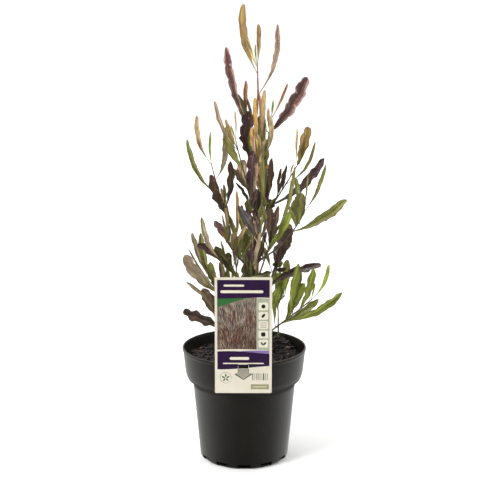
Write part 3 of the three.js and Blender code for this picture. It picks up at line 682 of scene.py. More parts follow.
def blade(skin, plan, kind):
    """One leaf: a thin folded blade with a keel below, ruffled margins and a blunt round tip.
    Its face is of kind and its underside of kind + 1."""
    root, tip, roll = plan["root"], plan["tip"], plan["roll"]
    ruffle, fold, narrowing = LEAF_HABIT[plan["tint"]]
    chord = tip - root
    long = chord.length
    broad = min(1, max(0, (plan["width"] / long - BROAD[0]) / (BROAD[1] - BROAD[0])))
    fullness = min(lerp(1, BROAD_POWER, broad), STRAP_POWER if plan["tint"] in STRAP_TINTS else 1)
    along = chord.normalized()
    sight = (Vector((0, -EYE_DISTANCE, EYE_HEIGHT)) - root).normalized()
    flat = along.cross(sight).normalized()
    face = flat.cross(along)
    phase = roll() * FULL_TURN
    waves = 2 + roll() * 2
    left_phase, right_phase = roll() * FULL_TURN, roll() * FULL_TURN
    twist = (roll() - 0.5) * (0.5 if plan["large"] else 0.9)
    shade = roll()
    ripples = 2 * math.pi * long / lerp(*RIPPLE_LENGTHS, roll())
    start = root - along * ROOT_SUNK
    starts = []
    for t in blade_stations(long, plan["large"]):
        share = width_share(t) ** (narrowing if t > TIP_FROM else fullness)
        middle = math.sin(math.pi * t)
        sway = math.sin(phase + waves * 2 * math.pi * t) * LEAF_WAVE * plan["width"] * share
        bowed = flat * (plan["bow"] * middle + sway) + face * (plan["arch"] * long * middle)
        mid = start + chord * t + bowed
        turn = plan["turn"] + twist * (t - 0.5)
        across = flat * math.cos(turn) + face * math.sin(turn)
        over = face * math.cos(turn) - flat * math.sin(turn)
        half = max(LEAST_HALF, plan["width"] * share / 2)
        left, left_lift = margin(half, ruffle, left_phase, ripples * t)
        right, right_lift = margin(half, ruffle, right_phase, ripples * t)
        between, rise, lift = half * HALFWAY[0], half * fold * HALFWAY[1], HALFWAY[2]
        ring = [
            mid - across * left + over * (half * fold + left_lift),
            mid - across * between + over * (rise + left_lift * lift),
            mid,
            mid + across * between + over * (rise + right_lift * lift),
            mid + across * right + over * (half * fold + right_lift),
            mid - over * lerp(*KEEL, t),
        ]
        spots = [(0, t), (0.24, t), (0.5, t), (0.76, t), (1, t), (0.5, t)]
        starts.append(add_ring(skin, ring, spots, shade))
    kinds = [kind, kind, kind, kind, kind + 1, kind + 1]
    for a, b in zip(starts, starts[1:]):
        bridge(skin, a, b, 6, kinds)
    skin["faces"].append(tuple(range(starts[0] + 5, starts[0] - 1, -1)))
    skin["kinds"].append(kind)
    top = add_ring(skin, [tip], [(0.5, 1)], shade)
    for i in range(6):
        skin["faces"].append((starts[-1] + i, starts[-1] + (i + 1) % 6, top))
        skin["kinds"].append(kinds[i])


def made(name, skin, materials, angle):
    """A mesh object from a skin, in metres, with its spots as a UV map and its shades as an attribute."""
    mesh = bpy.data.meshes.new(name)
    mesh.from_pydata([tuple(p * MM) for p in skin["points"]], [], skin["faces"])
    for material in materials:
        mesh.materials.append(material)
    mesh.polygons.foreach_set("material_index", skin["kinds"])
    layer = mesh.uv_layers.new(name="blade")
    corners = [skin["spots"][loop.vertex_index] for loop in mesh.loops]
    layer.data.foreach_set("uv", [v for spot in corners for v in spot])
    shade = mesh.attributes.new("shade", "FLOAT", "POINT")
    shade.data.foreach_set("value", skin["shades"])
    obj = bpy.data.objects.new(name, mesh)
    bpy.context.scene.collection.objects.link(obj)
    smooth(obj, angle)
    return obj


def only(obj):
    """In object mode, with this object alone selected and active."""
    if bpy.context.mode != "OBJECT":
        bpy.ops.object.mode_set(mode="OBJECT")
    bpy.ops.object.select_all(action="DESELECT")
    obj.select_set(True)
    bpy.context.view_layer.objects.active = obj


def smooth(obj, angle):
    only(obj)
    bpy.ops.object.shade_smooth_by_angle(angle=math.radians(angle))


# Materials


def colour(value):
    """A colour of the form 0xRRGGBB as the renderer counts it."""
    parts = []
    for shift in (16, 8, 0):
        c = (value >> shift & 255) / 255
        parts.append(c / 12.92 if c <= 0.04045 else ((c + 0.055) / 1.055) ** 2.4)
    return (*parts, 1.0)


def node(tree, kind, sockets=None, **settings):
    one = tree.nodes.new("ShaderNode" + kind)
    for key, value in settings.items():
        setattr(one, key, value)
    for key, value in (sockets or {}).items():
        if isinstance(value, bpy.types.NodeSocket):
            tree.links.new(value, one.inputs[key])
        else:
            one.inputs[key].default_value = value
    return one


def blend_colours(tree, share, first, second):
    return node(tree, "Mix", {0: share, 6: first, 7: second}, data_type="RGBA").outputs[2]


def ranged(tree, value, low, high, to_low, to_high):
    return node(tree, "MapRange", {0: value, 1: low, 2: high, 3: to_low, 4: to_high}).outputs[0]


def spread(tree, pattern, low, high):
    """A noise pattern's usual span, taken to low and high."""
    return ranged(tree, pattern, 0.3, 0.7, low, high)


def maths(tree, kind, first, second=0.0):
    return node(tree, "Math", {0: first, 1: second}, operation=kind).outputs[0]


def plus(tree, first, second):
    return maths(tree, "ADD", first, second)


def times(tree, first, second):
    return maths(tree, "MULTIPLY", first, second)


def object_place(tree):
    return node(tree, "TexCoord").outputs["Object"]


def object_height(tree):
    return node(tree, "SeparateXYZ", {0: object_place(tree)}).outputs[2]


def noise_at(tree, where, scale, detail, rough=0.5):
    sockets = {"Vector": where, "Scale": scale, "Detail": detail, "Roughness": rough}
    return node(tree, "TexNoise", sockets).outputs[0]


def object_noise(tree, scale, detail=3.0, rough=0.55):
    return noise_at(tree, object_place(tree), scale, detail, rough)


def new_group(name, inputs, outputs):
    tree = bpy.data.node_groups.new(name, "ShaderNodeTree")
    for label, value in inputs:
        kind = "NodeSocketColor" if isinstance(value, tuple) else "NodeSocketFloat"
        socket = tree.interface.new_socket(label, in_out="INPUT", socket_type=kind)
        socket.default_value = value
    for label, kind in outputs:
        tree.interface.new_socket(label, in_out="OUTPUT", socket_type="NodeSocket" + kind)
    return tree, tree.nodes.new("NodeGroupInput").outputs, tree.nodes.new("NodeGroupOutput")


def grain_group():
    """Fine grain and broad patches, for moulded plastic, card, bark and chips alike."""
    tree, given, end = new_group(
        "surface_grain",
        [("Fine Scale", 900.0), ("Patch Scale", 30.0)],
        [("Fine", "Float"), ("Patch", "Float")],
    )
    tree.links.new(object_noise(tree, given[0], 4.0), end.inputs[0])
    tree.links.new(object_noise(tree, given[1], 3.0), end.inputs[1])
    return tree


def leaf_group():
    """Leaf skin: shade of the whole leaf, another tint at its foot, soft patches, a tinged margin, midrib,
    streaks that are partly vein tone and partly painted sheen and shade, painted light and shade on its
    two halves, and side veins."""
    grey = (0.5, 0.5, 0.5, 1.0)
    tree, given, end = new_group(
        "leaf_skin",
        [("Colour", grey), ("Foot", grey), ("Margin", grey), ("Rib", grey), ("Tinge", 0.5)],
        [("Colour", "Color"), ("Roughness", "Float"), ("Height", "Float")],
    )
    face_tint, foot_tint, margin_tint, rib_tint, tinge = list(given)[:5]
    shade = node(tree, "Attribute", attribute_name="shade").outputs["Fac"]
    spot = node(tree, "UVMap", uv_map="blade").outputs[0]
    across, along, _ = node(tree, "SeparateXYZ", {0: spot}).outputs
    patch = object_noise(tree, 70.0, 3.0)
    fine = object_noise(tree, 420.0, 4.0, 0.65)
    off_rib = maths(tree, "SUBTRACT", across, 0.5)
    away = maths(tree, "ABSOLUTE", off_rib)
    lit_side = maths(tree, "SINE", times(tree, shade, 61.0))

    # Margin, ragged and wider on one side and at the tip
    ragged = plus(tree, away, spread(tree, patch, -0.1, 0.1))
    ragged = plus(tree, ragged, times(tree, times(tree, off_rib, 0.24), lit_side))
    end_tinge = ranged(tree, along, 0.86, 1.0, 0.0, 0.1)
    inner = maths(tree, "SUBTRACT", 0.37, times(tree, tinge, 0.12))
    edge = ranged(tree, plus(tree, ragged, end_tinge), inner, 0.48, 0.0, 1.0)
    edge = times(tree, edge, tinge)

    # Colour of the foot, the face, the margin and the midrib
    up = plus(tree, along, spread(tree, patch, -0.22, 0.22))
    body = blend_colours(tree, ranged(tree, up, 0.12, 0.6, 0.0, 1.0), foot_tint, face_tint)
    tinted = blend_colours(tree, edge, body, margin_tint)
    ribbed = blend_colours(tree, ranged(tree, away, 0.02, 0.075, 0.8, 0.0), tinted, rib_tint)

    # Lightness: of the whole leaf, its patches, its grain, its streaks (partly vein tone, partly painted
    # sheen and shade) and painted light and shade on its two halves
    lane = node(tree, "CombineXYZ", {
        0: plus(tree, times(tree, across, 4.5), times(tree, shade, 40.0)),
        1: times(tree, along, 3.4),
        2: times(tree, shade, 17.0),
    }).outputs[0]
    streak = noise_at(tree, lane, 1.0, 2.0)
    value = times(tree, ranged(tree, shade, 0, 1, 0.8, 1.22), spread(tree, patch, 0.78, 1.24))
    value = times(tree, value, spread(tree, fine, 0.92, 1.08))
    # Streaks along the leaf: partly vein tone and partly painted sheen and shade
    value = times(tree, value, spread(tree, streak, 0.7, 1.58))
    # Painted light and shade: one half of the blade lighter and the other darker, as on a folded leaf lit
    # from one side
    half = ranged(tree, across, 0.42, 0.58, -0.24, 0.24)
    value = times(tree, value, plus(tree, 1.0, times(tree, half, lit_side)))
    hue = spread(tree, patch, 0.478, 0.514)
    toned = node(tree, "HueSaturation", {"Hue": hue, "Value": value, "Color": ribbed}).outputs[0]
    tree.links.new(toned, end.inputs[0])
    tree.links.new(spread(tree, fine, 0.32, 0.48), end.inputs[1])

    # Relief of the side veins, the grain and the streaks
    slant = plus(tree, times(tree, along, 150.0), times(tree, away, 26.0))
    vein = ranged(tree, maths(tree, "SINE", slant), 0.4, 1.0, 0.0, 0.16)
    tree.links.new(plus(tree, plus(tree, vein, fine), streak), end.inputs[2])
    return tree


GRAIN = grain_group()
LEAF_SKIN = leaf_group()


def new_material(name):
    material = bpy.data.materials.new(name)
    material.use_nodes = True
    tree = material.node_tree
    shader = tree.nodes["Principled BSDF"]
    return material, tree, shader


def grained(name, dark, light, rough, fine, patch, bump, reach):
    """A surface that drifts between two tones in broad patches, with a fine grain in its relief."""
    material, tree, shader = new_material(name)
    grain = node(tree, "Group", node_tree=GRAIN)
    grain.inputs[0].default_value = fine
    grain.inputs[1].default_value = patch
    share = spread(tree, grain.outputs[1], 0.0, 1.0)
    speck = spread(tree, grain.outputs[0], -0.25, 0.25)
    share = node(tree, "Clamp", {0: plus(tree, share, speck)}).outputs[0]
    shown = blend_colours(tree, share, colour(dark), colour(light))
    tree.links.new(shown, shader.inputs["Base Color"])
    tree.links.new(spread(tree, grain.outputs[0], *rough), shader.inputs["Roughness"])
    relief = node(tree, "Bump", {"Strength": bump, "Distance": reach, "Height": grain.outputs[0]})
    tree.links.new(relief.outputs[0], shader.inputs["Normal"])
    return material, tree, shader


def leaf_material(name, tone, foot, margin_tint, rib, tinge):
    material, tree, shader = new_material(name)
    skin = node(tree, "Group", node_tree=LEAF_SKIN)
    for k, part in enumerate((tone, foot, margin_tint, rib)):
        skin.inputs[k].default_value = colour(part)
    skin.inputs[4].default_value = tinge
    shader.inputs["Specular IOR Level"].default_value = 0.42
    tree.links.new(skin.outputs[0], shader.inputs["Base Color"])
    tree.links.new(skin.outputs[1], shader.inputs["Roughness"])
    relief = node(tree, "Bump", {"Strength": 0.2, "Distance": 0.00012, "Height": skin.outputs[2]})
    tree.links.new(relief.outputs[0], shader.inputs["Normal"])
    return material


# Each tint: face, foot, underside, midrib, margin, how far the margin is tinged
TINTS = {
    "gold": (0xAC8E4C, 0x807A36, 0xA48C58, 0x9C8044, 0x86602E, 0.85),
    "bronze": (0x94784A, 0x827C3C, 0x927C54, 0x9A8250, 0x74522E, 0.9),
    "tan": (0x9A845A, 0x7E7240, 0x9E8A66, 0x8C764E, 0x765A46, 0.65),
    "straw": (0xDECD9C, 0x9C9048, 0xC8B88A, 0xBCA668, 0xB09660, 0.4),
    "rust": (0x8A5C34, 0x7C7434, 0x967650, 0xAA8048, 0x6A4028, 0.5),
    "olive": (0x6A6A30, 0x626C2A, 0x787848, 0x8C8A50, 0x58463A, 0.75),
    "green": (0x687222, 0x747E2C, 0x76803E, 0x8C944C, 0x60582A, 0.5),
    "lime": (0x828E34, 0x869838, 0x8C984C, 0xA4AC5E, 0x727E36, 0.4),
    "moss": (0x464220, 0x5C5A28, 0x6A6646, 0x78743A, 0x2A2418, 0.5),
    "mauve": (0x66483F, 0x4A3C2C, 0x9E7E7A, 0x4E3430, 0xB2928C, 0.85),
    "dark": (0x3C2626, 0x3A3020, 0x5E4646, 0x644846, 0x241818, 0.5),
    "pink": (0xA88E72, 0x86794A, 0x9E8A70, 0x8A765E, 0x8A6A62, 0.6),
    "dusk": (0x7E7058, 0x767036, 0x8A7C66, 0xA09274, 0x745C54, 0.6),
    "slate": (0x4E4742, 0x46402C, 0x68605A, 0x6E665C, 0x2C2623, 0.6),
    "plum": (0x5C3E40, 0x8A7428, 0x745656, 0x6E4E50, 0x3A2428, 0.6),
    "brown": (0x4A3828, 0x48422A, 0x645442, 0x665442, 0x2C201A, 0.5),
    "umber": (0x42332C, 0x463C2C, 0x564840, 0x5C4C42, 0x2C211E, 0.5),
}

# The tints of each leaf piece
LEAF_PIECES = {
    "leaf_gold": ("gold", "bronze", "tan", "straw"),
    "leaf_green": ("olive", "green", "lime", "moss"),
    "leaf_purple": ("mauve", "dark", "pink", "dusk", "slate", "plum"),
    "leaf_brown": ("brown", "umber", "rust"),
}


# Pot


def outside_rows():
    foot = BASE_RADIUS - FOOT_ROUND
    rows = [(foot, 0.0)]
    for k in range(1, FOOT_STEPS + 1):
        a = math.radians(90 * k / FOOT_STEPS - 90)
        rows.append((foot + FOOT_SPLAY + FOOT_ROUND * math.cos(a), FOOT_ROUND + FOOT_ROUND * math.sin(a)))
    return rows + SHOULDER + LIP


def outside_radius(z):
    rows = outside_rows()
    for (r0, z0), (r1, z1) in zip(rows, rows[1:]):
        if z <= z1 and z1 > z0:
            return lerp(r0, r1, (z - z0) / (z1 - z0))
    return RIM_RADIUS


def drawn_up(name, rows, sides):
    """A round body drawn up from a disc: each row takes its free end to a radius at a height."""
    bpy.ops.object.select_all(action="DESELECT")
    radius, height = rows[0]
    bpy.ops.mesh.primitive_circle_add(
        vertices=sides, radius=radius * MM, fill_type="NGON", location=(0, 0, height * MM)
    )
    obj = bpy.context.active_object
    obj.name = name
    obj.data.name = name
    bpy.ops.object.transform_apply(location=True, rotation=True, scale=True)
    bpy.ops.object.mode_set(mode="EDIT")
    bpy.ops.mesh.select_all(action="SELECT")
    for r, z in rows[1:]:
        rise = (z - height) * MM
        bpy.ops.mesh.extrude_region_move(TRANSFORM_OT_translate={"value": (0, 0, rise)})
        bpy.ops.transform.resize(value=(r / radius, r / radius, 1), center_override=(0, 0, z * MM))
        radius, height = r, z
    return obj


def closed_outwards():
    """Turns the faces of the mesh in edit mode outwards, and leaves edit mode."""
    bpy.ops.mesh.select_all(action="SELECT")
    bpy.ops.mesh.normals_make_consistent(inside=False)
    bpy.ops.object.mode_set(mode="OBJECT")


def block(name, size, centre, turn=0.0):
    """A cutting block, turned about the pot's axis."""
    bpy.ops.object.select_all(action="DESELECT")
    where, scale = [c * MM for c in centre], [s * MM for s in size]
    bpy.ops.mesh.primitive_cube_add(size=1, location=where, scale=scale)
    obj = bpy.context.active_object
    obj.name = name
    bpy.ops.object.transform_apply(location=True, rotation=True, scale=True)
    obj.rotation_euler = (0, 0, turn)
    bpy.ops.object.transform_apply(location=True, rotation=True, scale=True)
    return obj


def cut(obj, cutter):
    only(obj)
    step = obj.modifiers.new("cut", "BOOLEAN")
    step.object = cutter
    step.operation = "DIFFERENCE"
    step.solver = "EXACT"
    bpy.ops.object.modifier_apply(modifier=step.name)
    bpy.data.objects.remove(cutter)


def joined(objects, name):
    bpy.ops.object.select_all(action="DESELECT")
    for obj in objects:
        obj.select_set(True)
    bpy.context.view_layer.objects.active = objects[0]
    bpy.ops.object.join()
    objects[0].name = name
    return objects[0]


def satin_black():
    """Moulded black plastic, duller in the band under the collar."""
    material, tree, shader = grained(
        "pot_satin_black", 0x181713, 0x201E19, (0.26, 0.34),
        fine=1500.0, patch=18.0, bump=0.12, reach=0.00012,
    )
    shader.inputs["Specular IOR Level"].default_value = 0.36
    height = object_height(tree)
    fade_up = ranged(tree, height, 0.1145, 0.111, 0.0, 1.0)
    fade_in = ranged(tree, height, 0.1, 0.104, 0.0, 0.4)
    satin = shader.inputs["Roughness"].links[0].from_socket
    dulled = plus(tree, satin, times(tree, fade_in, fade_up))
    tree.links.new(dulled, shader.inputs["Roughness"])
    return material


def nursery_pot():
    rows = outside_rows()
    rows.append((RIM_RADIUS - WALL, POT_HEIGHT))
    inner = [(r - WALL, z) for r, z in rows if COLLAR_INSIDE[0] < z < COLLAR_INSIDE[1]]
    rows.append((RIM_RADIUS - WALL - 0.4, POT_HEIGHT - 1.2))
    rows += inner[::-1] + INSIDE_LOW
    pot = drawn_up("nursery_pot", rows, POT_SIDES)
    closed_outwards()
    notches = [
        block(
            "notch", (DRAIN_WIDTH, DRAIN_DEPTH * 2, DRAIN_HEIGHT * 2), (0, -BASE_RADIUS, 0),
            2 * math.pi * k / DRAIN_COUNT,
        )
        for k in range(DRAIN_COUNT)
    ]
    cut(pot, joined(notches, "notches"))
    pot.data.materials.append(satin_black())
    smooth(pot, 30)
    return pot


# Potting mix


def mix_top(x, y):
    """Height of the mix at a place: lumps and the mound, calm round the trunk."""
    foot = trunk_at(MIX_HEIGHT)
    far = math.hypot(x - foot.x, y - foot.y)
    calm = min(1, max(0, (far - CALM_RADIUS) / CALM_EDGE))
    off = math.hypot(x - MOUND_AT[0], y - MOUND_AT[1]) / MOUND_SPREAD
    long, short = BUMP_LENGTHS
    rough = noise.noise((x / long, y / long, 3.1)) + 0.5 * noise.noise((x / short, y / short, 8.7))
    return MIX_HEIGHT + calm * (rough * MIX_BUMP + MIX_MOUND * math.exp(-off * off) - 1)


def potting_mix():
    inside = lambda z: outside_radius(z) - WALL
    edge = inside(MIX_HEIGHT) - MIX_GAP
    rows = [(inside(4) - MIX_FOOT_GAP, FLOOR + 0.4)]
    rows += [(inside(z) - MIX_GAP, float(z)) for z in (6, 103, 113, 120, 129)]
    rows += [(edge * (1 - 0.985 * k / MIX_RINGS), MIX_HEIGHT) for k in range(MIX_RINGS + 1)]
    bed = drawn_up("potting_mix_bed", rows, MIX_SIDES)
    bpy.ops.mesh.poke()
    closed_outwards()
    for vertex in bed.data.vertices:
        if vertex.co.z > (MIX_HEIGHT - 3) * MM:
            vertex.co.z = mix_top(vertex.co.x / MM, vertex.co.y / MM) * MM
    material, _, _ = grained(
        "mix_fines", 0x090605, 0x1A130E, (0.75, 0.95), fine=700.0, patch=220.0, bump=0.9, reach=0.0012
    )
    bed.data.materials.append(material)
    smooth(bed, 60)
    return bed


def chip_shape():
    """One chip of bark: a split slab, thicker at one end, with chipped corners."""
    bpy.ops.object.select_all(action="DESELECT")
    bpy.ops.mesh.primitive_cube_add(size=1, location=(0, 0, 0), scale=CHIP_SLAB)
    chip = bpy.context.active_object
    bpy.ops.object.transform_apply(location=True, rotation=True, scale=True)
    bpy.ops.object.mode_set(mode="EDIT")
    bpy.ops.mesh.select_all(action="SELECT")
    bpy.ops.mesh.subdivide(number_cuts=1)
    bpy.ops.object.mode_set(mode="OBJECT")
    for k, vertex in enumerate(chip.data.vertices):
        roll = dice(9000 + k)
        vertex.co.z *= 1 + 0.6 * vertex.co.x
        vertex.co += Vector((roll() - 0.5, roll() - 0.5, roll() - 0.5)) * CHIP_CORNERS
    points = [vertex.co.copy() for vertex in chip.data.vertices]
    faces = [tuple(face.vertices) for face in chip.data.polygons]
    bpy.data.objects.remove(chip)
    return points, faces


def bark_chips():
    """Loose chips strewn over the mix, each turned and tilted its own way, most of them small and dark."""
    points, faces = chip_shape()
    skin = new_skin()
    inside = outside_radius(MIX_HEIGHT) - WALL
    foot = trunk_at(MIX_HEIGHT)
    made_so_far = 0
    for k in range(CHIP_COUNT * 2):
        roll = dice(5000 + k)
        r = (inside - 5) * math.sqrt(roll())
        a = roll() * 2 * math.pi
        x, y = r * math.cos(a), r * math.sin(a)
        if math.hypot(x - foot.x, y - foot.y) < CHIP_TRUNK_GAP or made_so_far == CHIP_COUNT:
            continue
        made_so_far += 1
        long = lerp(*CHIP_SIZES, roll() ** 2.2)
        long = min(long, 2 * (inside - 1 - r) + 4)
        yaw, tilt, bank = roll() * FULL_TURN, (roll() - 0.5) * 1.1, (roll() - 0.5) * 1.1
        turn = Vector((math.cos(yaw), math.sin(yaw), math.sin(tilt))).normalized()
        side = Vector((-math.sin(yaw), math.cos(yaw), math.sin(bank))).normalized()
        up = turn.cross(side).normalized()
        side = up.cross(turn)
        at = Vector((x, y, mix_top(x, y) + 0.4 + roll() * 0.9))
        shade = roll()
        kind = 0 if roll() < CHIP_DARK_SHARE else (1 if roll() < CHIP_BROWN_SHARE else 2)
        ring = [at + (turn * p.x + side * p.y + up * p.z) * long for p in points]
        start = add_ring(skin, ring, [(p.x, p.y) for p in points], shade)
        for face in faces:
            skin["faces"].append(tuple(start + v for v in face))
            skin["kinds"].append(kind)
    tones = {"dark": (0x0A0604, 0x1C130C), "brown": (0x1C1109, 0x382516), "pale": (0x4C3C2C, 0x80684E)}
    materials = [
        grained("chip_" + tone, *pair, (0.5, 0.9), fine=900.0, patch=160.0, bump=0.7, reach=0.0006)[0]
        for tone, pair in tones.items()
    ]
    return made("bark_chips", skin, materials, 30)


# Care card


def card_plate():
    bpy.ops.object.select_all(action="DESELECT")
    bpy.ops.mesh.primitive_cube_add(
        size=1,
        location=(CARD_SIDE * MM, (CARD_BACK - CARD_THICK / 2) * MM, (CARD_TOP + CARD_BOTTOM) / 2 * MM),
        scale=(CARD_WIDTH * MM, CARD_THICK * MM, (CARD_TOP - CARD_BOTTOM) * MM),
    )
    plate = bpy.context.active_object
    plate.name = "care_card"
    bpy.ops.object.transform_apply(location=True, rotation=True, scale=True)
    bpy.ops.object.mode_set(mode="EDIT")
    bpy.ops.mesh.select_all(action="DESELECT")
    bpy.ops.object.mode_set(mode="OBJECT")
    for edge in plate.data.edges:
        a, b = (plate.data.vertices[v].co for v in edge.vertices)
        edge.select = abs(a.y - b.y) > CARD_THICK * MM / 2
    bpy.context.tool_settings.mesh_select_mode = (False, True, False)
    bpy.ops.object.mode_set(mode="EDIT")
    bpy.ops.mesh.bevel(offset=CARD_CORNER * MM, segments=6, affect="EDGES")
    bpy.ops.object.mode_set(mode="OBJECT")
    height = SLOT_TOP - SLOT_BOTTOM
    slot = block("slot", (SLOT_WIDTH, 6, height), (CARD_SIDE, CARD_BACK, SLOT_BOTTOM + height / 2))
    cut(plate, slot)
    stock, _, _ = grained(
        "card_stock", 0xD0C9B6, 0xDAD3C2, (0.3, 0.42), fine=1200.0, patch=40.0, bump=0.05, reach=0.00005
    )
    plate.data.materials.append(stock)
    smooth(plate, 30)
    return plate


def hook_line():
    """Depth and height along the hook: out of the slot, over the rim and down the inside of the wall."""
    rest = POT_HEIGHT + 0.75
    inside = -(RIM_RADIUS - WALL - HOOK_INSET) - 0.35
    return [
        (CARD_BACK - CARD_THICK * 0.8, rest),
        (-82.2, rest + 0.12),
        (-80.0, rest + 0.2),
        (-78.4, rest + 0.1),
        (inside - 0.1, rest - 0.5),
        (inside, rest - 1.6),
        (inside + 0.1, 147.0),
        (inside, POT_HEIGHT - HOOK_DROP),
    ]


def card_hook():
    """The tongue that goes over the rim and down inside the pot, a strip drawn out edge by edge."""
    line = hook_line()
    (y0, z0), (y1, z1) = line[0], line[1]
    middle = (y0 + y1) / 2 * MM
    bpy.ops.object.select_all(action="DESELECT")
    bpy.ops.mesh.primitive_plane_add(size=1, location=(CARD_SIDE * MM, middle, (z0 + z1) / 2 * MM))
    hook = bpy.context.active_object
    hook.name = "card_hook"
    hook.scale = (HOOK_WIDTH * MM, (y1 - y0) * MM, 1)
    bpy.ops.object.transform_apply(location=True, rotation=True, scale=True)
    for vertex in hook.data.vertices:
        vertex.co.z = (z0 if vertex.co.y < middle else z1) * MM
        vertex.select = vertex.co.y > middle
    for edge in hook.data.edges:
        a, b = (hook.data.vertices[v].co for v in edge.vertices)
        edge.select = min(a.y, b.y) > middle
    for face in hook.data.polygons:
        face.select = False
    bpy.context.tool_settings.mesh_select_mode = (False, True, False)
    bpy.ops.object.mode_set(mode="EDIT")
    for (ya, za), (yb, zb) in zip(line[1:], line[2:]):
        step = (0, (yb - ya) * MM, (zb - za) * MM)
        bpy.ops.mesh.extrude_region_move(TRANSFORM_OT_translate={"value": step})
    bpy.ops.object.mode_set(mode="OBJECT")
    only(hook)
    wall = hook.modifiers.new("wall", "SOLIDIFY")
    wall.thickness = HOOK_THICK * MM
    wall.offset = 0
    bpy.ops.object.modifier_apply(modifier=wall.name)
    bpy.ops.object.mode_set(mode="EDIT")
    closed_outwards()
    hook.data.materials.append(bpy.data.materials["card_stock"])
    smooth(hook, 40)
    return hook


# Print on the card


def printed(skin, outline, layer, kind):
    """A printed field on the card's face: an outline of side and height, a thin film proud of it."""
    face = CARD_BACK - CARD_THICK
    count = len(outline)
    area = sum(
        outline[i][0] * outline[(i + 1) % count][1] - outline[(i + 1) % count][0] * outline[i][1]
        for i in range(count)
    )
    if area < 0:
        outline = outline[::-1]
    front = [Vector((CARD_SIDE + x, face - INK_FILM * layer, z)) for x, z in outline]
    back = [Vector((CARD_SIDE + x, face + 0.05, z)) for x, z in outline]
    spots = [(x / CARD_WIDTH + 0.5, (z - CARD_BOTTOM) / (CARD_TOP - CARD_BOTTOM)) for x, z in outline]
    a = add_ring(skin, front, spots)
    b = add_ring(skin, back, spots)
    skin["faces"].append(tuple(range(a, a + count)))
    skin["faces"].append(tuple(range(b + count - 1, b - 1, -1)))
    skin["kinds"] += [kind, kind]
    bridge(skin, b, a, count, [kind] * count)


def wave(middle, height, length, phase):
    """A gently waved edge across the card, as its height at each side."""
    return lambda x: middle + height * math.sin(x / length + phase)


HEAD_LOW = wave(238.5, 2.6, 21, 0.6)
PICTURE_FOOT = wave(PICTURE_LOW, 1.0, 19, 2.0)
BAND_LOW = wave(149.2, 2.4, 24, -0.4)
BAND_HIGH = wave(168.6, 2.2, 22, 2.4)


def field(x0, x1, low, high, steps=24):
    """Outline between two curves over the stretch from x0 to x1."""
    xs = [lerp(x0, x1, k / steps) for k in range(steps + 1)]
    return [(x, low(x)) for x in xs] + [(x, high(x)) for x in reversed(xs)]


def tile(x, z, w, h, r):
    """Outline of a rounded rectangle about its centre."""
    points = []
    for cx, cz, first in ((1, -1, -90), (1, 1, 0), (-1, 1, 90), (-1, -1, 180)):
        for k in range(5):
            a = math.radians(first + 22.5 * k)
            points.append((
                x + cx * (w / 2 - r) + r * math.cos(a),
                z + cz * (h / 2 - r) + r * math.sin(a),
            ))
    return points


def disc(x, z, r, steps=24):
    turns = [2 * math.pi * k / steps for k in range(steps)]
    return [(x + r * math.cos(a), z + r * math.sin(a)) for a in turns]


def leaf_mark(x, z, long, wide, lean):
    """Outline of a small pointed leaf."""
    c, s = math.cos(lean), math.sin(lean)
    points = []
    for side in (1, -1):
        for k in range(9):
            t = k / 8 if side > 0 else 1 - k / 8
            u = (t - 0.5) * long
            v = side * wide / 2 * math.sin(math.pi * t)
            if 0 < k < 8 or side > 0:
                points.append((x + u * c - v * s, z + u * s + v * c))
    return points


# The two tones of each ink
INKS = {
    "purple": (0x260C34, 0x2E123E),
    "lilac": (0x766094, 0x8872A6),
    "green": (0x2A5E2C, 0x346C34),
    "cream": (0xD4CDB8, 0xDCD6C4),
    "sage": (0x959A84, 0xA4A892),
    "taupe": (0x8E897A, 0xA39E8E),
    "black": (0x1C1A18, 0x2A2824),
    "olive": (0x8F8A62, 0x9C966E),
    "forest": (0x1F5A38, 0x2A6C46),
    "pale_twig": (0x988E80, 0xB4AA98),
    "dark_twig": (0x2A1C16, 0x3C2A22),
    "red_twig": (0x4E1C18, 0x6C3228),
    "tan_twig": (0x745038, 0x8E6A4C),
}
# The share of strokes in each ink or one before it, at the picture's foot and head, and their widths
TWIG_INKS = [
    ("red_twig", 0.3, 0.04, (0.4, 1.1)),
    ("tan_twig", 0.5, 0.2, (0.4, 0.8)),
    ("pale_twig", 0.6, 0.66, (0.3, 0.6)),
    ("dark_twig", 1.0, 1.0, (0.3, 0.9)),
]
# Plain bars on the head and foot bands: centre, width and height
BARS = [
    (-12, 256.5, 26, 2.6),
    (-2, 248.6, 54, 3.6),
    (-5, 161.2, 25, 3.8),
    (0, 154.6, 52, 1.5),
]


def picture_material():
    """Twiggy streaks, darker towards the foot, in taupe and grey with a few dark red spots."""
    material, tree, shader = new_material("ink_picture")
    where = object_place(tree)
    turned = node(tree, "Mapping", {"Vector": where, "Rotation": (0, 0.42, 0), "Scale": (1.0, 1.0, 0.22)})
    crossed = node(tree, "Mapping", {"Vector": where, "Rotation": (0, -0.5, 0), "Scale": (1.0, 1.0, 0.25)})
    streak = noise_at(tree, turned.outputs[0], 620.0, 3.0)
    other = noise_at(tree, crossed.outputs[0], 540.0, 3.0)
    patch = object_noise(tree, 60.0, 3.0)
    spots = noise_at(tree, turned.outputs[0], 190.0, 1.0)
    height = ranged(tree, object_height(tree), PICTURE_LOW * MM, PICTURE_HIGH * MM, 0, 1)
    ground = blend_colours(tree, height, colour(0x1E100A), colour(0x4C4034))
    twiggy = blend_colours(tree, height, colour(0x7C604A), colour(0x9C927E))
    base = blend_colours(tree, ranged(tree, streak, 0.36, 0.62, 0, 1), ground, twiggy)
    cool = blend_colours(tree, ranged(tree, other, 0.44, 0.6, 0, 0.6), base, colour(0x6E6262))
    lit = blend_colours(tree, ranged(tree, patch, 0.4, 0.7, 0, 0.5), cool, colour(0x4A3626))
    shown = blend_colours(tree, ranged(tree, spots, 0.6, 0.66, 0, 0.8), lit, colour(0x5A1A22))
    tree.links.new(shown, shader.inputs["Base Color"])
    tree.links.new(spread(tree, streak, 0.28, 0.4), shader.inputs["Roughness"])
    return material


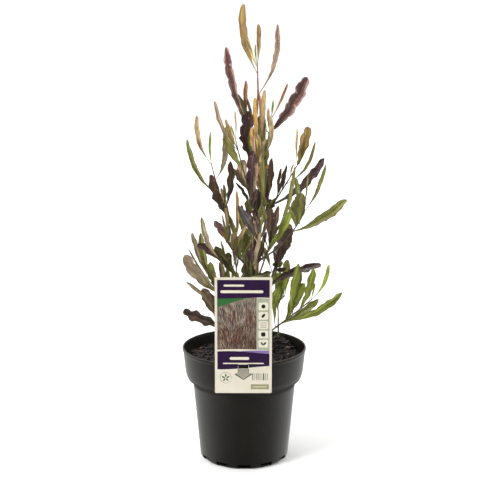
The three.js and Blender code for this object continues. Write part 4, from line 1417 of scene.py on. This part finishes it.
def twig_picture(skin, left, right, inks):
    """Bare twigs drawn over the picture: many fine strokes fanning upwards, redder towards the foot."""
    roll = dice(8200)
    for k in range(TWIG_STROKES):
        across = roll()
        lean = math.radians(lerp(*TWIG_LEANS, across) + TWIG_SPREAD * (2 * roll() - 1))
        long = lerp(*TWIG_LENGTHS, roll() ** 2)
        reach = abs(math.cos(lean)) * long / 2 + 0.5
        rise = math.sin(lean) * long / 2 + 0.8
        x = lerp(left + reach, right - reach, across)
        t = roll()
        z = lerp(PICTURE_LOW + rise, PICTURE_HIGH - rise, t)
        chance = roll()
        row = next(row for row in TWIG_INKS if chance < lerp(row[1], row[2], t))
        mark = leaf_mark(x, z, long, lerp(*row[3], roll()), lean)
        printed(skin, mark, 1.1 + 0.8 * k / TWIG_STROKES, inks[row[0]])


def print_head(skin, ink):
    """Head band, the picture below it, and a green wedge between the two."""
    printed(skin, field(-PRINT_EDGE, PRINT_EDGE, HEAD_LOW, lambda x: HEAD_TOP), 1, ink["purple"])
    picture = field(-PRINT_EDGE, PICTURE_EDGE, PICTURE_FOOT, lambda x: HEAD_LOW(x) - 0.1)
    printed(skin, picture, 1, ink["picture"])
    twig_picture(skin, -PRINT_EDGE, PICTURE_EDGE, ink)
    thick = lambda x: (WEDGE_END - x) / (PRINT_EDGE + WEDGE_END)
    wedge_low = lambda x: HEAD_LOW(x) - 7.5 * thick(x) - 0.4
    wedge_high = lambda x: HEAD_LOW(x) + 3.4 * thick(x)
    printed(skin, field(-PRINT_EDGE, WEDGE_END, wedge_low, wedge_high), 2, ink["green"])


def tile_signs(x, z):
    """The plain signs on the tiles of the column, from the top down: each an outline and its ink."""
    left, right = leaf_mark(x - 1.6, z, 6.0, 2.4, 2.2), leaf_mark(x + 1.8, z, 6.0, 2.4, 0.9)
    return [
        [(disc(x, z, 2.6), "black")],
        [(leaf_mark(x, z, 7.5, 3.4, 0.9), "black")],
        [(tile(x, z + 2.8 - 2.8 * i, 8.4, 1.1, 0.5), "taupe") for i in range(3)],
        [(tile(x, z, 5.4, 5.4, 1.2), "black")],
        [(left, "forest"), (right, "black")],
    ]


def print_column(skin, ink):
    """Column of tiles beside the picture."""
    ground = field(PRINT_EDGE - COLUMN_WIDTH, PRINT_EDGE, PICTURE_FOOT, lambda x: HEAD_LOW(x) - 0.9)
    printed(skin, ground, 1, ink["sage"])
    x = PRINT_EDGE - COLUMN_WIDTH / 2
    for k in range(TILE_COUNT):
        z = TILE_TOP - TILE_STEP * k
        printed(skin, tile(x, z, 12.2, 10.2, 2.0), 2, ink["cream"])
        for outline, name in tile_signs(x, z)[k]:
            printed(skin, outline, 3, ink[name])


def print_bands(skin, ink):
    """Foot band round the slot, a lilac sweep above it, and the bars on both bands."""
    rise = lambda x: 4.6 * max(0.0, (x - SWEEP_START) / (PRINT_EDGE - SWEEP_START)) ** 0.7
    sweep = field(SWEEP_START, PRINT_EDGE, lambda x: BAND_HIGH(x) - 0.4, lambda x: BAND_HIGH(x) + rise(x))
    printed(skin, sweep, 2, ink["lilac"])
    beside_slot = lambda x: abs(x) > SLOT_WIDTH / 2 + 0.2
    band_low = lambda x: BAND_LOW(x) if beside_slot(x) else SLOT_TOP + 0.2
    printed(skin, field(-PRINT_EDGE, PRINT_EDGE, band_low, BAND_HIGH, 120), 3, ink["purple"])
    for x, z, w, h in BARS:
        printed(skin, tile(x, z, w, h, h / 2.05), 4, ink["cream"])


def print_foot(skin, ink):
    """Below the slot: an arrow in taupe, the card of a pushed-out tongue in painted shade, over a black
    painted shadow line, then a flower in a disc, a plate with a bar, and a row of short strokes.
    """
    shaft, head = 13.0 / 2, 21.0 / 2
    top, neck, barb, point = 147.4, 142.4, 141.2, 133.4
    arrow = [(-shaft, top), (shaft, top), (shaft, neck), (head, barb)]
    arrow += [(0, point), (-head, barb), (-shaft, neck)]
    # Painted shadow: a black line below and beside the arrow's lower edges, as under a tongue of card
    # pushed out from the face
    shadow_line = [(x * 1.09, z if z == top else z - 1.0) for x, z in arrow]
    printed(skin, shadow_line, 1, ink["black"])
    printed(skin, arrow, 2, ink["taupe"])
    x, z = FLOWER_AT
    printed(skin, disc(x, z, 7.4, 32), 1, ink["taupe"])
    printed(skin, disc(x, z, 6.7, 32), 2, ink["cream"])
    for k in range(5):
        a = math.radians(90 + 72 * k)
        petal = leaf_mark(x + 3.1 * math.cos(a), z + 3.1 * math.sin(a), 4.8, 2.2, a)
        printed(skin, petal, 3, ink["forest"])
    printed(skin, tile(*PLATE_AT, 23.0, 6.6, 0.4), 1, ink["olive"])
    printed(skin, tile(*PLATE_AT, 19.0, 0.9, 0.4), 2, ink["cream"])
    x, z = STROKES_AT
    for k in range(9):
        stroke = tile(x + STROKE_STEP * k, z, STROKE_WIDTHS[k % 4], 9.0, 0.2)
        printed(skin, stroke, 1, ink["taupe" if k % 3 else "forest"])


def card_print():
    materials = [
        grained("ink_" + key, *tones, (0.26, 0.38), fine=1400.0, patch=50.0, bump=0.04, reach=0.00004)[0]
        for key, tones in INKS.items()
    ]
    materials.append(picture_material())
    ink = {key: k for k, key in enumerate([*INKS, "picture"])}
    skin = new_skin()
    print_head(skin, ink)
    print_column(skin, ink)
    print_bands(skin, ink)
    print_foot(skin, ink)
    return made("card_print", skin, materials, 20)


# Trunk, boughs, twigs and leaves


def knots(distance, spacing, height):
    """Swelling of a stem at its leaf scars."""
    off = (distance % spacing) - spacing / 2
    return height * math.exp(-(off / 1.4) ** 2)


def trunk(skin):
    low = MIX_HEIGHT - 3.5
    tall = TRUNK_TIP - low

    def trunk_skin(t, a):
        z = low + tall * t
        lobe = 1 + 0.1 * math.cos(3 * a + 0.6) * math.exp(-(z - MIX_HEIGHT) / (2 * FLARE_HEIGHT))
        ridge = noise.noise((2.2 * math.cos(a), 2.2 * math.sin(a), z / 16)) * 0.09
        ridge += noise.noise((5 * math.cos(a), 5 * math.sin(a), z / 5)) * 0.05
        return trunk_radius(max(z, MIX_HEIGHT - 2)) * (lobe + ridge + knots(z, 21, 0.13))

    limb(skin, lambda t: trunk_at(low + tall * t), TRUNK_RINGS, trunk_skin)


def bough(skin, shoot, index):
    path = shoot_path(shoot)
    bare = shoot["bare"]
    long = (path(bare) - path(0)).length

    def bough_skin(t, a):
        base = lerp(STEM_RADIUS, STEM_TIP_RADIUS, t * bare)
        collar = 0.75 * math.exp(-((t * long) / 5.5) ** 2)
        ridge = noise.noise((2 * math.cos(a), 2 * math.sin(a) + index * 7, t * long / 6)) * 0.1
        return base * (1 + collar + ridge + knots(t * long, 13, 0.16))

    limb(skin, lambda t: path(t * bare * 1.02), BOUGH_RINGS, bough_skin, 1)


def leader_bark():
    """Bark of the leader: pale low down, partly pale stripped bark and partly painted light as on a lit
    trunk, red-brown above.
    """
    material, tree, shader = grained(
        "bark_leader", 0x7A4E42, 0xA87C66, (0.45, 0.7), fine=1100.0, patch=150.0, bump=0.5, reach=0.0004
    )
    mottle = ranged(tree, object_noise(tree, 150.0), 0.35, 0.65, 0.0, 1.0)
    # Painted light: the trunk below 0.302 m made pale as though it stood lit, over a mottle like pale
    # stripped bark
    pale_bark_painted_lit = blend_colours(tree, mottle, colour(0x9C7E56), colour(0xD8BC90))
    young = shader.inputs["Base Color"].links[0].from_socket
    shown = blend_colours(tree, ranged(tree, object_height(tree), 0.302, 0.336, 0.0, 1.0), pale_bark_painted_lit, young)
    tree.links.new(shown, shader.inputs["Base Color"])
    return material


def bark_limbs():
    skin = new_skin()
    trunk(skin)
    for index, shoot in enumerate(SHOOTS):
        if shoot["bare"]:
            bough(skin, shoot, index)
    leader = leader_bark()
    boughs, _, _ = grained(
        "bark_boughs", 0x463A32, 0x7A6856, (0.5, 0.8), fine=1100.0, patch=150.0, bump=0.6, reach=0.0005
    )
    return made("bark_limbs", skin, [leader, boughs], 60)


# Barks of the twigs: two tones and a roughness each
TWIG_BARK = {
    "twig_brown": (0x3A302B, 0x6A594A, (0.5, 0.75)),
    "twig_green": (0x665C3C, 0x8E8656, (0.5, 0.75)),
    "twig_red": (0x7A4E42, 0xB08068, (0.45, 0.7)),
}
# Which bark the twigs of a shoot of each tint have. The others have the first.
TWIG_KINDS = {"gold": 2, "tan": 1, "lime": 1}


def leafy_stem(twigs, skins, home, shoot, index):
    """The leafy part of one shoot: its stem, its side twigs, and every leaf in the skin of its tint."""
    path = shoot_path(shoot)
    start = shoot["bare"]
    long = (path(1) - path(start)).length
    bark = TWIG_KINDS.get(shoot["tint"], 0)

    def stem_skin(t, a):
        r = lerp(STEM_RADIUS, STEM_TIP_RADIUS, lerp(start, 1, t))
        return r * (1 + knots(t * long, 11, 0.2)) * (1 if t < 0.995 else 0.5)

    limb(twigs, lambda t: path(lerp(start, 1, t)), STEM_RINGS, stem_skin, bark)
    fine, small = fine_growth(shoot, index)
    for root, middle, end in fine:
        line = lambda t: root.lerp(middle, t).lerp(middle.lerp(end, t), t)
        limb(twigs, line, TWIG_RINGS, lambda t, a: lerp(*TWIG_RADII, t), bark)
    for plan in named_plans(shoot, index) + spray_plans(shoot, index) + small:
        name, kind = home[plan["tint"]]
        blade(skins[name], plan, kind)


def leaf_materials(tints):
    """Two materials for each tint: the face and the underside."""
    materials = []
    for tint in tints:
        face, foot, under, rib, margin_tint, tinge = TINTS[tint]
        materials.append(leaf_material(f"{tint}_face", face, foot, margin_tint, rib, tinge))
        materials.append(leaf_material(f"{tint}_under", under, foot, margin_tint, rib, tinge * 0.5))
    return materials


def twigs_and_leaves():
    twigs = new_skin()
    skins = {name: new_skin() for name in LEAF_PIECES}
    home = {tint: (name, 2 * k) for name, tints in LEAF_PIECES.items() for k, tint in enumerate(tints)}
    for index, shoot in enumerate(SHOOTS):
        leafy_stem(twigs, skins, home, shoot, index)
    bark = [
        grained(name, *tones, fine=900.0, patch=120.0, bump=0.4, reach=0.0003)[0]
        for name, tones in TWIG_BARK.items()
    ]
    pieces = [made("twigs", twigs, bark, 60)]
    for name, tints in LEAF_PIECES.items():
        piece = made(name.replace("leaf", "leaves"), skins[name], leaf_materials(tints), 32)
        pieces.append(piece)
    return pieces


# Floor, light and camera


def white_floor():
    bpy.ops.object.select_all(action="DESELECT")
    bpy.ops.mesh.primitive_plane_add(size=6, location=(0, 1.0, 0))
    floor = bpy.context.active_object
    floor.name = "floor"
    bpy.ops.object.transform_apply(location=True, rotation=True, scale=True)
    material, tree, shader = new_material("floor_white")
    broad = object_noise(tree, 3.0, 2.0)
    shown = blend_colours(tree, spread(tree, broad, 0, 1), colour(0xF9F9F8), colour(0xFBFBFA))
    tree.links.new(shown, shader.inputs["Base Color"])
    shader.inputs["Roughness"].default_value = 0.9
    away = node(tree, "VectorMath", {0: object_place(tree)}, operation="LENGTH").outputs[1]
    near, far = (0.16, 0.16, 0.16, 1), (0.7, 0.7, 0.7, 1)
    glow = blend_colours(tree, ranged(tree, away, 0.5, 2.0, 0, 1), near, far)
    tree.links.new(glow, shader.inputs["Emission Color"])
    shader.inputs["Emission Strength"].default_value = 1
    floor.data.materials.append(material)
    floor.visible_glossy = False


def studio_walls():
    """White all round to the camera. As light it is dim in front and from below, and full behind."""
    world = bpy.data.worlds.new("studio")
    world.use_nodes = True
    tree = world.node_tree
    sky = tree.nodes["Background"]
    sky.inputs[0].default_value = (1, 1, 1, 1)
    way = node(tree, "SeparateXYZ", {0: node(tree, "TexCoord").outputs["Generated"]}).outputs
    walls = ranged(tree, way[1], -0.85, 0.3, 0.05, 1.0)
    walls = times(tree, walls, ranged(tree, way[2], -1.0, -0.75, 0.2, 1.0))
    seen = node(tree, "LightPath").outputs["Is Camera Ray"]
    shown = node(tree, "Mix", {0: seen, 2: walls, 3: 1.1}, data_type="FLOAT").outputs[0]
    tree.links.new(shown, sky.inputs[1])
    bpy.context.scene.world = world


def studio_lamps():
    for name, at, size, power in LAMPS:
        lamp = bpy.data.lights.new(name, "AREA")
        lamp.size = size
        lamp.energy = power
        holder = bpy.data.objects.new(name, lamp)
        holder.location = at
        holder.rotation_euler = (Vector(LAMP_TARGET) - Vector(at)).to_track_quat("-Z", "Y").to_euler()
        bpy.context.scene.collection.objects.link(holder)


def studio_camera():
    lens = bpy.data.cameras.new("camera")
    lens.sensor_width = CAMERA_SENSOR
    lens.lens = CAMERA_LENS
    camera = bpy.data.objects.new("camera", lens)
    camera.location = CAMERA_PLACE
    camera.rotation_euler = (math.pi / 2 - CAMERA_DOWN, 0, CAMERA_ROLL)
    bpy.context.scene.collection.objects.link(camera)
    bpy.context.scene.camera = camera
    bpy.context.scene.view_settings.view_transform = "Standard"


bpy.ops.object.select_all(action="DESELECT")
white_floor()
studio_walls()
studio_lamps()
studio_camera()
pot = nursery_pot()
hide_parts("pot")
mix_pieces = [potting_mix(), bark_chips()]
for piece in mix_pieces:
    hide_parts("potting_mix")
card_pieces = [card_plate(), card_hook(), card_print()]
for piece in card_pieces:
    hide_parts("label_card")
limbs = bark_limbs()
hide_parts("trunk", *("bough_" + shoot["name"] for shoot in SHOOTS if shoot["bare"]))
foliage = twigs_and_leaves()
for piece in foliage:
    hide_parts(*("leaves_" + shoot["name"] for shoot in SHOOTS))
for piece in [pot, *mix_pieces, *card_pieces, limbs, *foliage]:
    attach(piece, "root")
